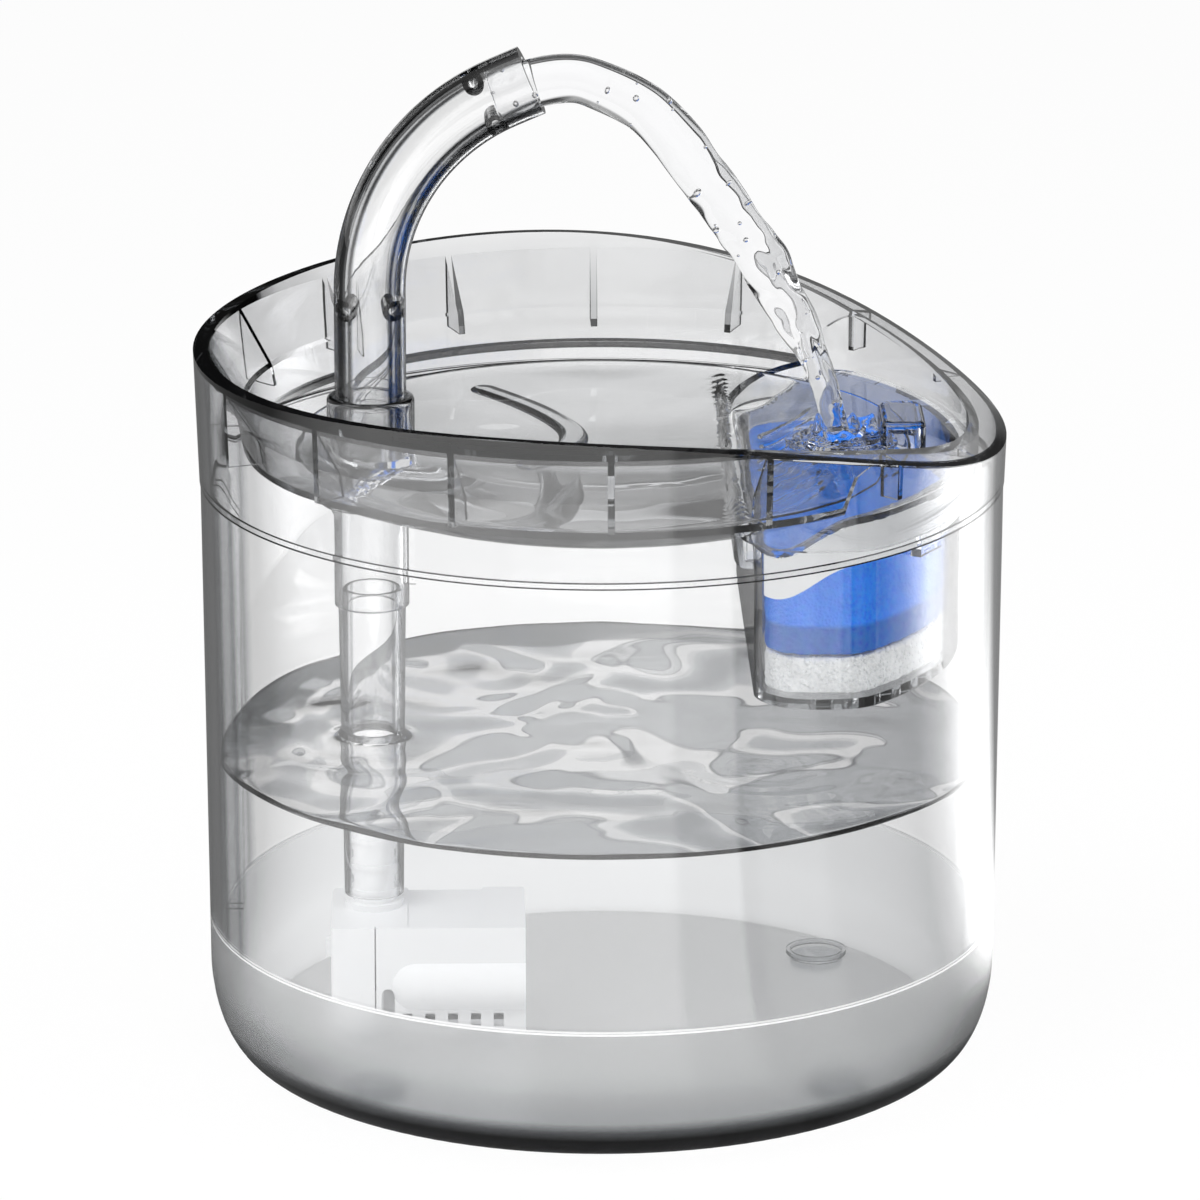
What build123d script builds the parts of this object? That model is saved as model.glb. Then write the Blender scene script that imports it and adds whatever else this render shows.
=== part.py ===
from build123d import *
import math
import os

os.makedirs("parts", exist_ok=True)

# Pet water fountain, millimetres, +Z up. The origin is on the tank's axis at the level
# that the feet stand on. The faucet is at -X and the filter at +X.

# tank
foot_height = 2.0
foot_radius = 6.0
foot_pocket = 0.8
foot_inset = 20.2
foot_angle = 41.4
foot_clearance = 0.1
seam_z = 133.6
tank_seam_radius = 89.2
tank_draft = 0.009
tank_wall = 2.6
tank_floor = 3.2
corner_width = 10.0
corner_height = 21.0
tongue_height = 1.0
tongue_width = 1.2
floor_ring_radius = 7.0
floor_ring_height = 1.0
floor_ring_width = 0.9
cable_guide_gap = 3.0
cable_guide_wall = 1.2
cable_guide_depth = 5.8
cable_guide_foot = 33.0
cable_guide_top_gap = 1.5
cable_guide_point = 7.0

# drinking tray
tray_step = 0.2
tray_flare = 0.036
tray_wall = 2.2
rim_high = 32.7
rim_low = 9.2
rim_cap = 1.2
# the rim's height over its width: (share of the rim's radius, share from low to high)
rim_shape = [(-1.02, 0.87), (-0.17, 1.0), (0.47, 0.715), (0.72, 0.43), (0.91, 0.15), (1.02, 0.0)]
rim_width = 2.0
cone_foot_step = 1.5
cone_foot_height = 17.0
dish_inset = 11.9
dish_edge_height = 10.0
dish_depth = 16.5
dish_wall = 2.2
rib_count = 16
rib_thickness = 1.5
rib_foot_height = 12.0
swirl_thickness = 3.2
# the ridge in the dish, seen from above, from its tip to its front end
swirl_places = [(-25.6, 50.0), (-17.5, 42.0), (-10.0, 31.5), (-6.0, 20.0), (-8.0, 9.0), (-16.0, 1.0)]
seat_clearance = 0.3

# faucet: half shells split on the plane of its bend
faucet_inset = 35.3
faucet_outer = 15.9
faucet_bore = 11.4
faucet_foot_depth = 4.0
faucet_bend_height = 42.3
faucet_bend_radius = 49.0
faucet_bend_angle = 66.6
faucet_lip = 6.8
pin_radius = 1.1
pin_boss_radius = 2.3
pin_boss_depth = 4.0
pin_length = 3.0
pin_offset = 4.9
pin_low_height = 38.7
pin_high_angle = 61.5
pin_clearance = 0.05
flow_ring_height = 5.0
flow_ring_wall = 0.8
flow_ring_foot = 16.2
flow_ring_slot = 2.0
flow_ring_slot_depth = 3.8

# socket and sleeve that hold the faucet and the riser
socket_outer = 19.5
socket_height = 18.5
socket_edge_radius = 1.1
socket_clearance = 0.1
sleeve_outer = 16.6
sleeve_depth = 29.4
sleeve_bore = 13.4
sleeve_key_width = 1.2
sleeve_key_reach = 1.4
sleeve_key_length = 21.0

# riser tube
riser_top_outer = 15.0
riser_low_outer = 13.3
riser_bore = 11.2
riser_spigot_length = 4.0
riser_clearance = 0.1
riser_gap = 1.6

# pump
pump_length = 43.4
pump_depth = 28.4
pump_height = 24.2
pump_foot = 4.0
pump_wall = 1.5
pump_front = -17.6
pump_corner = 1.5
nozzle_setback = 9.5
nozzle_height = 18.6
nozzle_outer = 10.0
nozzle_bore = 7.4
nozzle_barb = 0.45
barb_count = 3
nozzle_flange = 6.6
nozzle_flange_height = 1.4
nozzle_seat_depth = 2.2
nozzle_groove = 1.0
window_height = 3.2
window_spacing = 6.0
window_foot = 6.2
window_width = 5.0
window_depth = 3.15
window_tiers = 2
axis_height = 12.0
axis_y = -1.6
chamber_radius = 9.8
chamber_step = 0.8
chamber_depth = 9.5
intake_plate = 1.6
intake_gap = 1.8
intake_slot_count = 3
intake_slot_drop = 4.9
intake_slot_half = 3.3
intake_slot_height = 1.1
intake_slot_pitch = 2.2
volute_plate = 1.5
eye_radius = 5.4
eye_hub_radius = 2.8
arm_count = 3
arm_thickness = 1.0
can_bore = 5.2
can_wall = 1.0
can_depth = 17.0
can_end = 3.4
motor_radius = 10.2
end_cap = 1.6
potting = 1.8
board_gap = 1.2
board_thickness = 1.2
board_room = 3.4
shaft_radius = 1.0
bush_radius = 1.8
bush_length = 1.5
running_clearance = 0.05
fit_clearance = 0.05
disc_radius = 8.2
disc_thickness = 1.0
vane_count = 6
vane_thickness = 1.0
vane_height = 6.0
sleeve_radius = 2.0
magnet_radius = 4.6
rotor_gap = 0.7
stator_teeth = 4
stator_ring = 1.7
stator_gap = 0.3
stator_setback = 2.0
tooth_width = 3.6
stator_length = 9.0
coil_thickness = 1.2
coil_length = 1.6
panel_length = 16.8
panel_offset = 17.0
panel_depth = 0.6
strainer_length = 33.4
strainer_plate = 1.5
strainer_clearance = 0.3
bulge_radius = 6.1
bulge_height = 10.3
bulge_reach = 3.5
bulge_wall = 1.2
bulge_inset = 9.0
slot_count = 5
slot_width = 2.2
slot_pitch = 5.1
slot_height = 3.2
slot_foot = 0.8
slot_inset = 5.0
notch_width = 2.9
notch_top = 9.8
plenum_depth = 2.7
plenum_height = 17.0
plenum_foot = 2.0
plenum_inset = 1.6
duct_height = 6.0
prefilter_clearance = 0.3
adjuster_width = 5.0
adjuster_height = 4.2
adjuster_lap = 0.6
adjuster_plate = 1.0
adjuster_tab = 1.3
adjuster_tab_width = 2.0
adjuster_rise = 15.2
adjuster_start = -2.0
adjuster_travel = 4.0
adjuster_clearance = 0.3
spacer_wall = 1.0
suction_neck = 1.6
suction_radius = 5.0
suction_inset = 7.0
suction_pocket = 1.0
suction_lip = 0.8
gland_radius = 3.0
gland_bore = 1.6
gland_flange = 4.2
gland_flange_thickness = 1.2
gland_length = 6.0
gland_inset = 6.6
board_width = 13.6
chip_size = 5.0
chip_height = 1.0
capacitor_radius = 1.6
capacitor_height = 2.2

# filter
filter_inset = 7.0
filter_length = 47.7
filter_half_width = 58.0
filter_corner = 12.0
filter_drop = 36.6
filter_wall = 1.8
filter_floor = 2.0
wave_top = 6.1
wave_depth = 8.5
# the wave of the cup's edge: (share of the cup's length, share from low to high)
wave_shape = [(-0.05, 0.3), (0.115, 0.0), (0.25, 0.42), (0.395, 0.88), (0.55, 1.0), (0.8, 1.0), (1.15, 1.0)]
band_height = 9.2
band_thickness = 1.2
well_clearance = 0.5
well_wall = 2.0
well_corner = 3.0
well_foot_depth = 7.6
ledge_height = 1.5
ledge_width = 2.0
flange_thickness = 1.8
lug_angles = [-32.0, 0.0, 32.0]
lug_width = 9.0
lug_height = 2.0
drain_slot_count = 7
drain_slot_width = 2.6
drain_slot_pitch = 5.6
drain_slot_length = 64.0
floor_rib_count = 4
floor_rib_height = 0.8
floor_rib_width = 1.6
foam_clearance = 0.4
cotton_height = 8.6
sponge_height = 20.6
cover_thickness = 1.6
cover_slot_count = 9
cover_slot_width = 2.6
cover_slot_pitch = 8.0
cover_slot_length = 12.0
cover_slot_inset = 10.0
handle_length = 20.0
handle_width = 10.0
handle_height = 7.0
handle_wall = 1.6
handle_inset = 13.0
handle_corner = 3.0

# derived places
big = 400.0
overlap = 1.0
ceiling = 2 * rim_high
floor_z = foot_height + tank_floor
corner_z = foot_height + corner_height
wall_foot_radius = tank_seam_radius - tank_draft * (seam_z - corner_z)
foot_circle = wall_foot_radius - foot_inset
tray_seam_radius = tank_seam_radius + tray_step
tray_rim_radius = tray_seam_radius + tray_flare * rim_high
dish_radius = tray_seam_radius - dish_inset
bowl_sphere = (dish_radius ** 2 + dish_depth ** 2) / (2 * dish_depth)
bowl_bottom = seam_z + dish_edge_height - dish_depth
cone_foot_radius = dish_radius + cone_foot_step
cone_top_radius = tray_rim_radius - rim_width
tank_bore_radius = tank_seam_radius - tank_wall
faucet_x = faucet_inset - tank_bore_radius
filter_radius = tank_bore_radius - filter_inset
filter_chord = filter_radius - filter_length
socket_bore = faucet_outer + 2 * socket_clearance
nozzle_x = faucet_x
pump_left = nozzle_x - nozzle_setback
pump_right = pump_left + pump_length
pump_back = pump_front + pump_depth
pump_bottom = floor_z + pump_foot
pump_top = pump_bottom + pump_height
axis_z = pump_bottom + axis_height
housing_front = pump_front + strainer_plate
housing_right = pump_right - end_cap
strainer_left = pump_right - strainer_length
intake_x = pump_left + intake_plate
volute_x = intake_x + intake_gap
chamber_x = volute_x + volute_plate
can_x = chamber_x + chamber_depth
can_floor_x = can_x + can_depth
can_end_x = can_floor_x + can_end
board_x = can_end_x + board_gap
potting_x = housing_right - potting
plenum_back = housing_front + plenum_depth
bulge_y = pump_front - bulge_reach + bulge_radius
bulge_z = pump_bottom + bulge_height
sleeve_foot_z = seam_z - sleeve_depth
faucet_foot_z = seam_z - faucet_foot_depth
cup_foot_z = seam_z - filter_drop


def revolved(points):
    """A solid of revolution about Z from a closed outline of (radius, height) points."""
    return revolve(Plane.XZ * make_face(Polyline(*points, close=True)), Axis.Z)


def tube(outer, inner, height, x=0.0, y=0.0, z=0.0):
    """An upright tube that stands on z, its sizes given as radii."""
    ring = Circle(outer) - Circle(inner)
    return Pos(x, y, z) * extrude(ring, height)


def rod(radius, x_start, x_end, y=axis_y, z=axis_z):
    """A cylinder along X."""
    return Pos(x_start, y, z) * Rot(0, 90, 0) * extrude(Circle(radius), x_end - x_start)


def block(x0, x1, y0, y1, z0, z1):
    """A box between two corners."""
    return Pos((x0 + x1) / 2, (y0 + y1) / 2, (z0 + z1) / 2) * Box(x1 - x0, y1 - y0, z1 - z0)


def below_curve(points, drop=0.0):
    """The space under a curve of (x, z) points, run through along Y."""
    lifted = [(x, z - drop) for x, z in points]
    top = Spline(*lifted)
    low = -big
    sides = Polyline(lifted[-1], (lifted[-1][0], low), (lifted[0][0], low), lifted[0])
    face = make_face([top, sides])
    return Pos(0, big / 2, 0) * extrude(Plane.XZ * face, big)


def save(name, shape, colour):
    """Write one node to its own STEP file."""
    shape.color = Color(colour)
    shape.label = name
    export_step(shape, f"parts/{name}.step")


# ---------------------------------------------------------------- tank
def wall_outline(inset, floor, top_radius):
    """The tank's outer or inner outline: floor, rounded corner and drafted wall."""
    centre = (wall_foot_radius - corner_width, corner_z)
    width = corner_width - inset
    height = corner_z - floor
    corner = EllipticalCenterArc(centre, width, height, start_angle=270, arc_size=90)
    base = Line((0, floor), (centre[0], floor))
    wall = Line((wall_foot_radius - inset, corner_z), (top_radius, seam_z))
    close = Polyline((top_radius, seam_z), (0, seam_z), (0, floor))
    return revolve(Plane.XZ * make_face([base, corner, wall, close]), Axis.Z)


def foot_places():
    """Centres of the four feet."""
    x = foot_circle * math.cos(math.radians(foot_angle))
    y = foot_circle * math.sin(math.radians(foot_angle))
    return [(-x, -y), (-x, y), (x, -y), (x, y)]


def cable_guide():
    """Two thin rails with pointed tops that keep the pump's cable on the tank's left wall."""
    reach = tank_bore_radius - cable_guide_depth
    top = seam_z - cable_guide_top_gap
    shoulder = top - cable_guide_point
    outline = Polyline(
        (-tank_seam_radius, cable_guide_foot),
        (-reach, cable_guide_foot),
        (-reach, shoulder),
        (-tank_bore_radius + tank_wall / 2, top),
        (-tank_seam_radius, top),
        close=True,
    )
    face = Plane.XZ * make_face(outline)
    rails = Part()
    for side in (-1, 1):
        middle = side * (cable_guide_gap + cable_guide_wall) / 2
        rails += Pos(0, middle + cable_guide_wall / 2, 0) * extrude(face, cable_guide_wall)
    return rails


def make_tank():
    outer = wall_outline(0.0, foot_height, tank_seam_radius)
    inner = wall_outline(tank_wall, floor_z, tank_bore_radius)
    shell = outer - inner
    tongue_outer = tank_bore_radius + tongue_width
    shell += tube(tongue_outer, tank_bore_radius, tongue_height + overlap,
                  z=seam_z - overlap)
    shell += cable_guide() & wall_outline(tank_wall / 2, floor_z, tank_bore_radius + tank_wall / 2)
    for x, y in foot_places():
        shell += tube(floor_ring_radius, floor_ring_radius - floor_ring_width,
                      floor_ring_height + overlap, x, y, floor_z - overlap)
        shell -= Pos(x, y, foot_height) * extrude(Circle(foot_radius + foot_clearance), foot_pocket)
    return shell


def make_feet():
    """Round feet pressed into pockets under the tank."""
    feet = []
    for x, y in foot_places():
        feet.append(Pos(x, y, 0) * extrude(Circle(foot_radius), foot_height + foot_pocket))
    return Compound(children=feet)


# ---------------------------------------------------------------- drinking tray
def rim_points():
    rise = rim_high - rim_low
    return [(x * tray_rim_radius, seam_z + rim_low + share * rise) for x, share in rim_shape]


def bowl_outline(drop, inset):
    """The space over the tray's inner surface, or over its underside when given a wall."""
    edge_angle = math.degrees(math.asin((dish_radius + inset) / (bowl_sphere + drop)))
    dish = CenterArc((0, bowl_bottom + bowl_sphere), bowl_sphere + drop, -90, edge_angle)
    slope = (cone_top_radius - cone_foot_radius) / (rim_high - cone_foot_height)
    top_radius = cone_foot_radius + slope * (ceiling - cone_foot_height)
    outline = Polyline(
        dish @ 1,
        (cone_foot_radius + inset, seam_z + cone_foot_height),
        (top_radius + inset, seam_z + ceiling),
        (0, seam_z + ceiling),
        dish @ 0,
    )
    return revolve(Plane.XZ * make_face([dish, outline]), Axis.Z)


def skirt_outline(inset):
    """The space inside the tray's outer wall, which flares towards the rim."""
    foot = tray_seam_radius - inset
    top = seam_z + ceiling
    return revolved([(0, seam_z), (foot, seam_z), (foot + tray_flare * ceiling, top), (0, top)])


def filter_outline(grow):
    """The filter's outline seen from above: a chord, two short sides and an arc, all rounded."""
    disc = Circle(filter_radius)
    strip = Pos(filter_chord + big / 2, 0) * Rectangle(big, 2 * filter_half_width)
    core = offset(disc & strip, -filter_corner)
    return offset(core, filter_corner + grow)


def wave_points(rise=0.0):
    length = filter_radius - filter_chord
    low = seam_z + wave_top - wave_depth + rise
    return [(filter_chord + x * length, low + share * wave_depth) for x, share in wave_shape]


def make_tray():
    skirt_room = skirt_outline(tray_wall)
    inside = bowl_outline(0.0, 0.0)
    underside = bowl_outline(dish_wall, dish_wall)
    under_rim = below_curve(rim_points())
    under_cap = below_curve(rim_points(), rim_cap)
    skirt = skirt_outline(0.0) - skirt_room
    bowl = underside - inside
    hollow = skirt_room - underside
    cap = (hollow & under_rim) - under_cap
    well_reach = filter_radius + band_thickness + well_clearance + well_wall
    below_seam = Pos(0, 0, cup_foot_z) * extrude(Circle(well_reach), filter_drop)
    envelope = (skirt_outline(0.0) + below_seam) & under_rim
    tray = (skirt + bowl) & envelope
    tray += cap & above(seam_z + rim_low - rim_cap)
    tray += make_ribs() & hollow & under_rim
    tray += socket_solid()
    tray += well_solid(inside) & envelope
    tray += swirl() & underside
    well_hole = filter_outline(band_thickness + well_clearance)
    chord_left = filter_chord - ledge_width - well_clearance
    chord_hole = Pos((chord_left + filter_chord) / 2, 0) * Rectangle(
        filter_chord - chord_left, 2 * (filter_half_width - filter_corner))
    ledge_top = seam_z - well_foot_depth + ledge_height
    tray -= Pos(0, 0, ledge_top) * extrude(well_hole + chord_hole, ceiling)
    tray -= Pos(0, 0, ledge_top - ceiling) * extrude(filter_outline(well_clearance / 2), ceiling)
    tray += lugs()
    tray -= socket_bores()
    rabbet = tank_bore_radius + tongue_width + seat_clearance
    return tray - tube(rabbet, rabbet - tray_wall, tongue_height + seat_clearance, z=seam_z)


def above(z):
    return Pos(0, 0, z) * extrude(Rectangle(big, big), big)


def make_ribs():
    """Gusset ribs under the rim, spread evenly round the tray."""
    ribs = Part()
    length = tray_rim_radius - dish_radius
    for index in range(rib_count):
        rib = block(dish_radius + dish_wall / 2, dish_radius + length, -rib_thickness / 2,
                    rib_thickness / 2, seam_z + rib_foot_height, seam_z + ceiling)
        ribs += Rot(0, 0, index * 360.0 / rib_count) * rib
    return ribs


def socket_solid():
    """The boss over the dish and the sleeve under it, solid before they are bored."""
    boss = Pos(faucet_x, 0, seam_z - faucet_foot_depth - dish_wall) * extrude(
        Circle(socket_outer / 2), faucet_foot_depth + dish_wall + socket_height)
    top_edge = boss.edges().group_by(Axis.Z)[-1]
    boss = fillet(top_edge, socket_edge_radius)
    sleeve = Pos(faucet_x, 0, sleeve_foot_z) * extrude(Circle(sleeve_outer / 2), sleeve_depth)
    key_foot = sleeve_foot_z + sleeve_depth - sleeve_key_length - faucet_foot_depth
    key = block(faucet_x, faucet_x + sleeve_outer / 2 + sleeve_key_reach, -sleeve_key_width / 2,
                sleeve_key_width / 2, key_foot, key_foot + sleeve_key_length)
    return boss + sleeve + key


def socket_bores():
    """The faucet's seat from above and the riser's seat from below."""
    upper = Pos(faucet_x, 0, faucet_foot_z) * extrude(Circle(socket_bore / 2), big)
    lower = Pos(faucet_x, 0, sleeve_foot_z) * extrude(Circle(sleeve_bore / 2), sleeve_depth)
    return upper + lower


def well_solid(inside):
    """The filter well's walls, down to the ledge under the chord and to the seam elsewhere."""
    outer = filter_outline(band_thickness + well_clearance + well_wall)
    inner = filter_outline(band_thickness + well_clearance)
    ring = extrude(outer - inner, rim_high)
    walls = Pos(0, 0, seam_z) * ring
    chord_left = filter_chord - ledge_width - well_clearance - well_wall
    half = filter_half_width - filter_corner + well_wall
    foot = seam_z - well_foot_depth
    chord_block = block(chord_left, filter_chord + well_wall, -half, half, foot, seam_z + dish_edge_height)
    lower_edge = chord_block.edges().filter_by(Axis.Y).group_by(Axis.Z)[0].sort_by(Axis.X)[0]
    chord_block = fillet(lower_edge, well_corner)
    return (walls + chord_block) - inside


def lugs():
    """Small shelves on the well's round wall that carry the filter cup's band."""
    result = Part()
    reach = filter_radius + well_clearance / 2
    outer = filter_radius + band_thickness + well_clearance + well_wall / 2
    top = seam_z + wave_top - band_height - seat_clearance
    hanger = filter_radius + band_thickness + well_clearance
    for angle in lug_angles:
        lug = block(reach, outer, -lug_width / 2, lug_width / 2, top - lug_height, top)
        lug += block(hanger, outer, -lug_width / 2, lug_width / 2, top - lug_height, seam_z + lug_height)
        result += Rot(0, 0, angle) * lug
    return result


def swirl():
    """A low curved ridge on the dish that turns the water."""
    centre_z = bowl_bottom + bowl_sphere
    points = [(x, y, centre_z - math.sqrt(bowl_sphere ** 2 - x * x - y * y)) for x, y in swirl_places]
    path = Spline(*points)
    ridge = sweep(Plane(origin=path @ 0, z_dir=path % 0) * Circle(swirl_thickness), path)
    ends = [Pos(*(path @ t)) * Sphere(swirl_thickness) for t in (0, 1)]
    return ridge + ends[0] + ends[1]


# ---------------------------------------------------------------- faucet and riser
def faucet_path():
    """The tube's middle line: upright, round the bend and along the lip."""
    foot = (faucet_x, 0, faucet_foot_z)
    bend = (faucet_x, 0, seam_z + faucet_bend_height)
    upright = Line(foot, bend)
    centre = Vector(bend) + Vector(faucet_bend_radius, 0, 0)
    curve = CenterArc((0, 0, 0), faucet_bend_radius, 180, -faucet_bend_angle)
    curve = Pos(*centre) * Rot(90, 0, 0) * curve
    lip = Line(curve @ 1, curve @ 1 + (curve % 1) * faucet_lip)
    return Wire([upright, curve, lip])


def pin_places():
    """Where the pins cross the split: two low in the upright and two near the outlet."""
    low_z = seam_z + pin_low_height
    angle = math.radians(180 - pin_high_angle)
    centre_x = faucet_x + faucet_bend_radius
    centre_z = seam_z + faucet_bend_height
    for side in (-1, 1):
        yield faucet_x + side * pin_offset, low_z
        radius = faucet_bend_radius - side * pin_offset
        yield centre_x + radius * math.cos(angle), centre_z + radius * math.sin(angle)


def pins(radius, start, end):
    """Round pins across the split, between two places along Y."""
    result = Part()
    for x, z in pin_places():
        result += Pos(x, end, z) * extrude(Plane.XZ * Circle(radius), end - start)
    return result


def make_faucet():
    path = faucet_path()
    start = Plane(origin=path @ 0, z_dir=path % 0)
    outer = sweep(start * Circle(faucet_outer / 2), path)
    bore = sweep(start * Circle(faucet_bore / 2), path)
    tube_wall = outer - bore + (pins(pin_boss_radius, -pin_boss_depth, pin_boss_depth) & outer)
    front_space = block(-big, big, -big, 0, 0, big)
    rear_space = block(-big, big, 0, big, 0, big)
    hole = pin_radius + pin_clearance
    front = (tube_wall & front_space) - pins(hole, -pin_length - pin_clearance, 0)
    rear = (tube_wall & rear_space) + pins(pin_radius, -pin_length, pin_boss_depth / 2)
    return front, rear


def make_flow_ring():
    """A slotted ring inside the faucet's foot."""
    foot = seam_z + flow_ring_foot
    outer = faucet_bore / 2 - fit_clearance
    ring = tube(outer, outer - flow_ring_wall, flow_ring_height, faucet_x, 0, foot)
    slot_foot = foot + flow_ring_height - flow_ring_slot_depth
    slot = block(faucet_x - flow_ring_slot / 2, faucet_x + flow_ring_slot / 2, -faucet_outer, 0,
                 slot_foot, foot + flow_ring_height)
    return ring - slot


def make_riser():
    """The tapered tube from the pump's nozzle up to the sleeve under the tray."""
    foot = pump_top + nozzle_flange_height + riser_gap
    top = sleeve_foot_z - riser_clearance
    body = Pos(faucet_x, 0, (foot + top) / 2) * Cone(riser_low_outer / 2, riser_top_outer / 2, top - foot)
    spigot = Pos(faucet_x, 0, top) * extrude(
        Circle(sleeve_bore / 2 - riser_clearance), riser_spigot_length)
    bore = Pos(faucet_x, 0, foot) * extrude(Circle(riser_bore / 2), big)
    return body + spigot - bore


# ---------------------------------------------------------------- pump
def make_housing():
    """The pump's body with its impeller chamber, rotor can, motor room and front recess."""
    left = block(pump_left, strainer_left - strainer_clearance, pump_front, pump_back,
                 pump_bottom, pump_top)
    right = block(pump_left, housing_right, housing_front, pump_back, pump_bottom, pump_top)
    body = left + right
    outer_edges = body.edges().filter_by(Axis.Z).group_by(Axis.X)[0]
    body = fillet(outer_edges, pump_corner)
    cover_seat = rod(chamber_radius, pump_left, chamber_x)
    chamber = rod(chamber_radius - chamber_step, chamber_x, can_x)
    motor_room = rod(motor_radius, can_x + pump_wall, housing_right)
    can = rod(can_bore + can_wall, can_x, can_end_x)
    body -= cover_seat + chamber
    body -= motor_room - can
    body -= rod(can_bore, can_x, can_floor_x)
    body -= rod(bush_radius + fit_clearance, can_floor_x, can_floor_x + bush_length)
    plenum_top = pump_bottom + plenum_foot + plenum_height
    body -= block(strainer_left + plenum_inset, housing_right - plenum_inset, housing_front,
                  plenum_back, pump_bottom + plenum_foot, plenum_top)
    duct_z = axis_z - duct_height / 2
    body -= block(intake_x, strainer_left + plenum_inset, housing_front, plenum_back,
                  duct_z, duct_z + duct_height)
    body -= block(intake_x, volute_x, housing_front, axis_y, duct_z, duct_z + duct_height)
    body -= Pos(nozzle_x, 0, axis_z) * extrude(Circle(nozzle_bore / 2), pump_height)
    body -= Pos(nozzle_x, 0, pump_top - nozzle_seat_depth) * extrude(
        Circle(nozzle_outer / 2 + fit_clearance), nozzle_seat_depth)
    panel_left = pump_left + panel_offset
    body -= block(panel_left, panel_left + panel_length, -big, big, pump_top - panel_depth, pump_top)
    for x, y in suction_places():
        body -= Pos(x, y, pump_bottom) * extrude(Circle(suction_neck + fit_clearance), suction_pocket)
    gland_x = pump_right - gland_inset
    body -= Pos(gland_x, pump_back, axis_z) * extrude(
        Plane.XZ * Circle(gland_radius), pump_back - axis_y - motor_radius / 2)
    return body


def suction_places():
    """Centres of the four suction cups under the pump."""
    xs = (pump_left + suction_inset, pump_right - suction_inset)
    ys = (pump_front + suction_inset, pump_back - suction_inset)
    return [(x, y) for x in xs for y in ys]


def make_suction_cups():
    cups = []
    for x, y in suction_places():
        shoulder = pump_bottom - suction_lip
        neck = Pos(x, y, shoulder) * extrude(Circle(suction_neck), suction_pocket + suction_lip)
        bell_height = shoulder - floor_z
        middle = (floor_z + shoulder) / 2
        bell = Pos(x, y, middle) * Cone(suction_radius, suction_neck, bell_height)
        hollow = Pos(x, y, middle - suction_lip) * Cone(suction_radius, suction_neck, bell_height)
        cups.append(neck + (bell - hollow))
    return Compound(children=cups)


def make_nozzle():
    """The outlet nozzle, with staggered windows and barbs for the riser tube."""
    seat_z = pump_top - nozzle_seat_depth
    nozzle = tube(nozzle_outer / 2, nozzle_bore / 2, nozzle_seat_depth + nozzle_height,
                  nozzle_x, 0, seat_z)
    nozzle += tube(nozzle_flange, nozzle_bore / 2, nozzle_flange_height, nozzle_x, 0, pump_top)
    barb_outer = nozzle_outer / 2 + nozzle_barb
    for tier in range(barb_count):
        barb_z = pump_top + window_foot - nozzle_groove - window_height / 2 + tier * window_spacing
        nozzle += tube(barb_outer, nozzle_bore / 2, nozzle_groove, nozzle_x, 0, barb_z)
    for tier in range(window_tiers):
        for side in (-1, 1):
            window_z = pump_top + window_foot + tier * window_spacing
            edge = nozzle_x + side * nozzle_outer / 2
            near = edge - side * window_depth
            nozzle -= block(min(edge, near), max(edge, near), -window_width / 2, window_width / 2,
                            window_z - window_height / 2, window_z + window_height / 2)
    return nozzle


def make_intake_cover():
    """The disc that closes the pump's left end, with inlet slots and the adjuster's slot."""
    outer = chamber_radius - fit_clearance
    cover = rod(outer, pump_left, intake_x)
    spacer = rod(outer, intake_x, volute_x) - rod(outer - spacer_wall, intake_x, volute_x)
    gap = duct_height / 2
    cover += spacer - block(intake_x, volute_x, -big, axis_y, axis_z - gap, axis_z + gap)
    slot_height_in = adjuster_height + 2 * adjuster_clearance
    slot_start = axis_y + adjuster_start - adjuster_tab_width / 2 - adjuster_clearance
    slot_end = slot_start + adjuster_tab_width + adjuster_travel + 2 * adjuster_clearance
    slot_z = pump_bottom + adjuster_rise
    cover -= block(pump_left, intake_x, slot_start, slot_end, slot_z - slot_height_in / 2,
                   slot_z + slot_height_in / 2)
    for index in range(intake_slot_count):
        low = axis_z - intake_slot_drop - index * intake_slot_pitch
        cover -= block(pump_left, intake_x, axis_y - intake_slot_half, axis_y + intake_slot_half,
                       low, low + intake_slot_height)
    return cover


def make_flow_adjuster():
    """A sliding gate behind the intake cover, with a tab that stands out of its slot."""
    middle = axis_y + adjuster_start
    z = pump_bottom + adjuster_rise
    plate_height = adjuster_height + 2 * adjuster_lap
    plate_x = intake_x + adjuster_clearance
    plate = block(plate_x, plate_x + adjuster_plate, middle - adjuster_width / 2,
                  middle + adjuster_width / 2, z - plate_height / 2, z + plate_height / 2)
    tab = block(pump_left - adjuster_tab, plate_x, middle - adjuster_tab_width / 2,
                middle + adjuster_tab_width / 2, z - adjuster_height / 2, z + adjuster_height / 2)
    return plate + tab


def make_volute_plate():
    """The plate between intake and impeller: an eye with a hub on three arms."""
    plate = rod(chamber_radius - fit_clearance, volute_x, chamber_x)
    plate -= rod(eye_radius, volute_x, chamber_x)
    arms = rod(eye_hub_radius, volute_x, chamber_x)
    arm = block(volute_x, chamber_x, axis_y - arm_thickness / 2, axis_y + arm_thickness / 2,
                axis_z, axis_z + eye_radius + chamber_step)
    for index in range(arm_count):
        arms += arm.rotate(Axis((0, axis_y, axis_z), (1, 0, 0)), index * 360 / arm_count)
    return plate + arms - rod(bush_radius + fit_clearance, volute_x, chamber_x)


def make_bush(start):
    return rod(bush_radius, start, start + bush_length) - rod(
        shaft_radius + running_clearance, start, start + bush_length)


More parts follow.
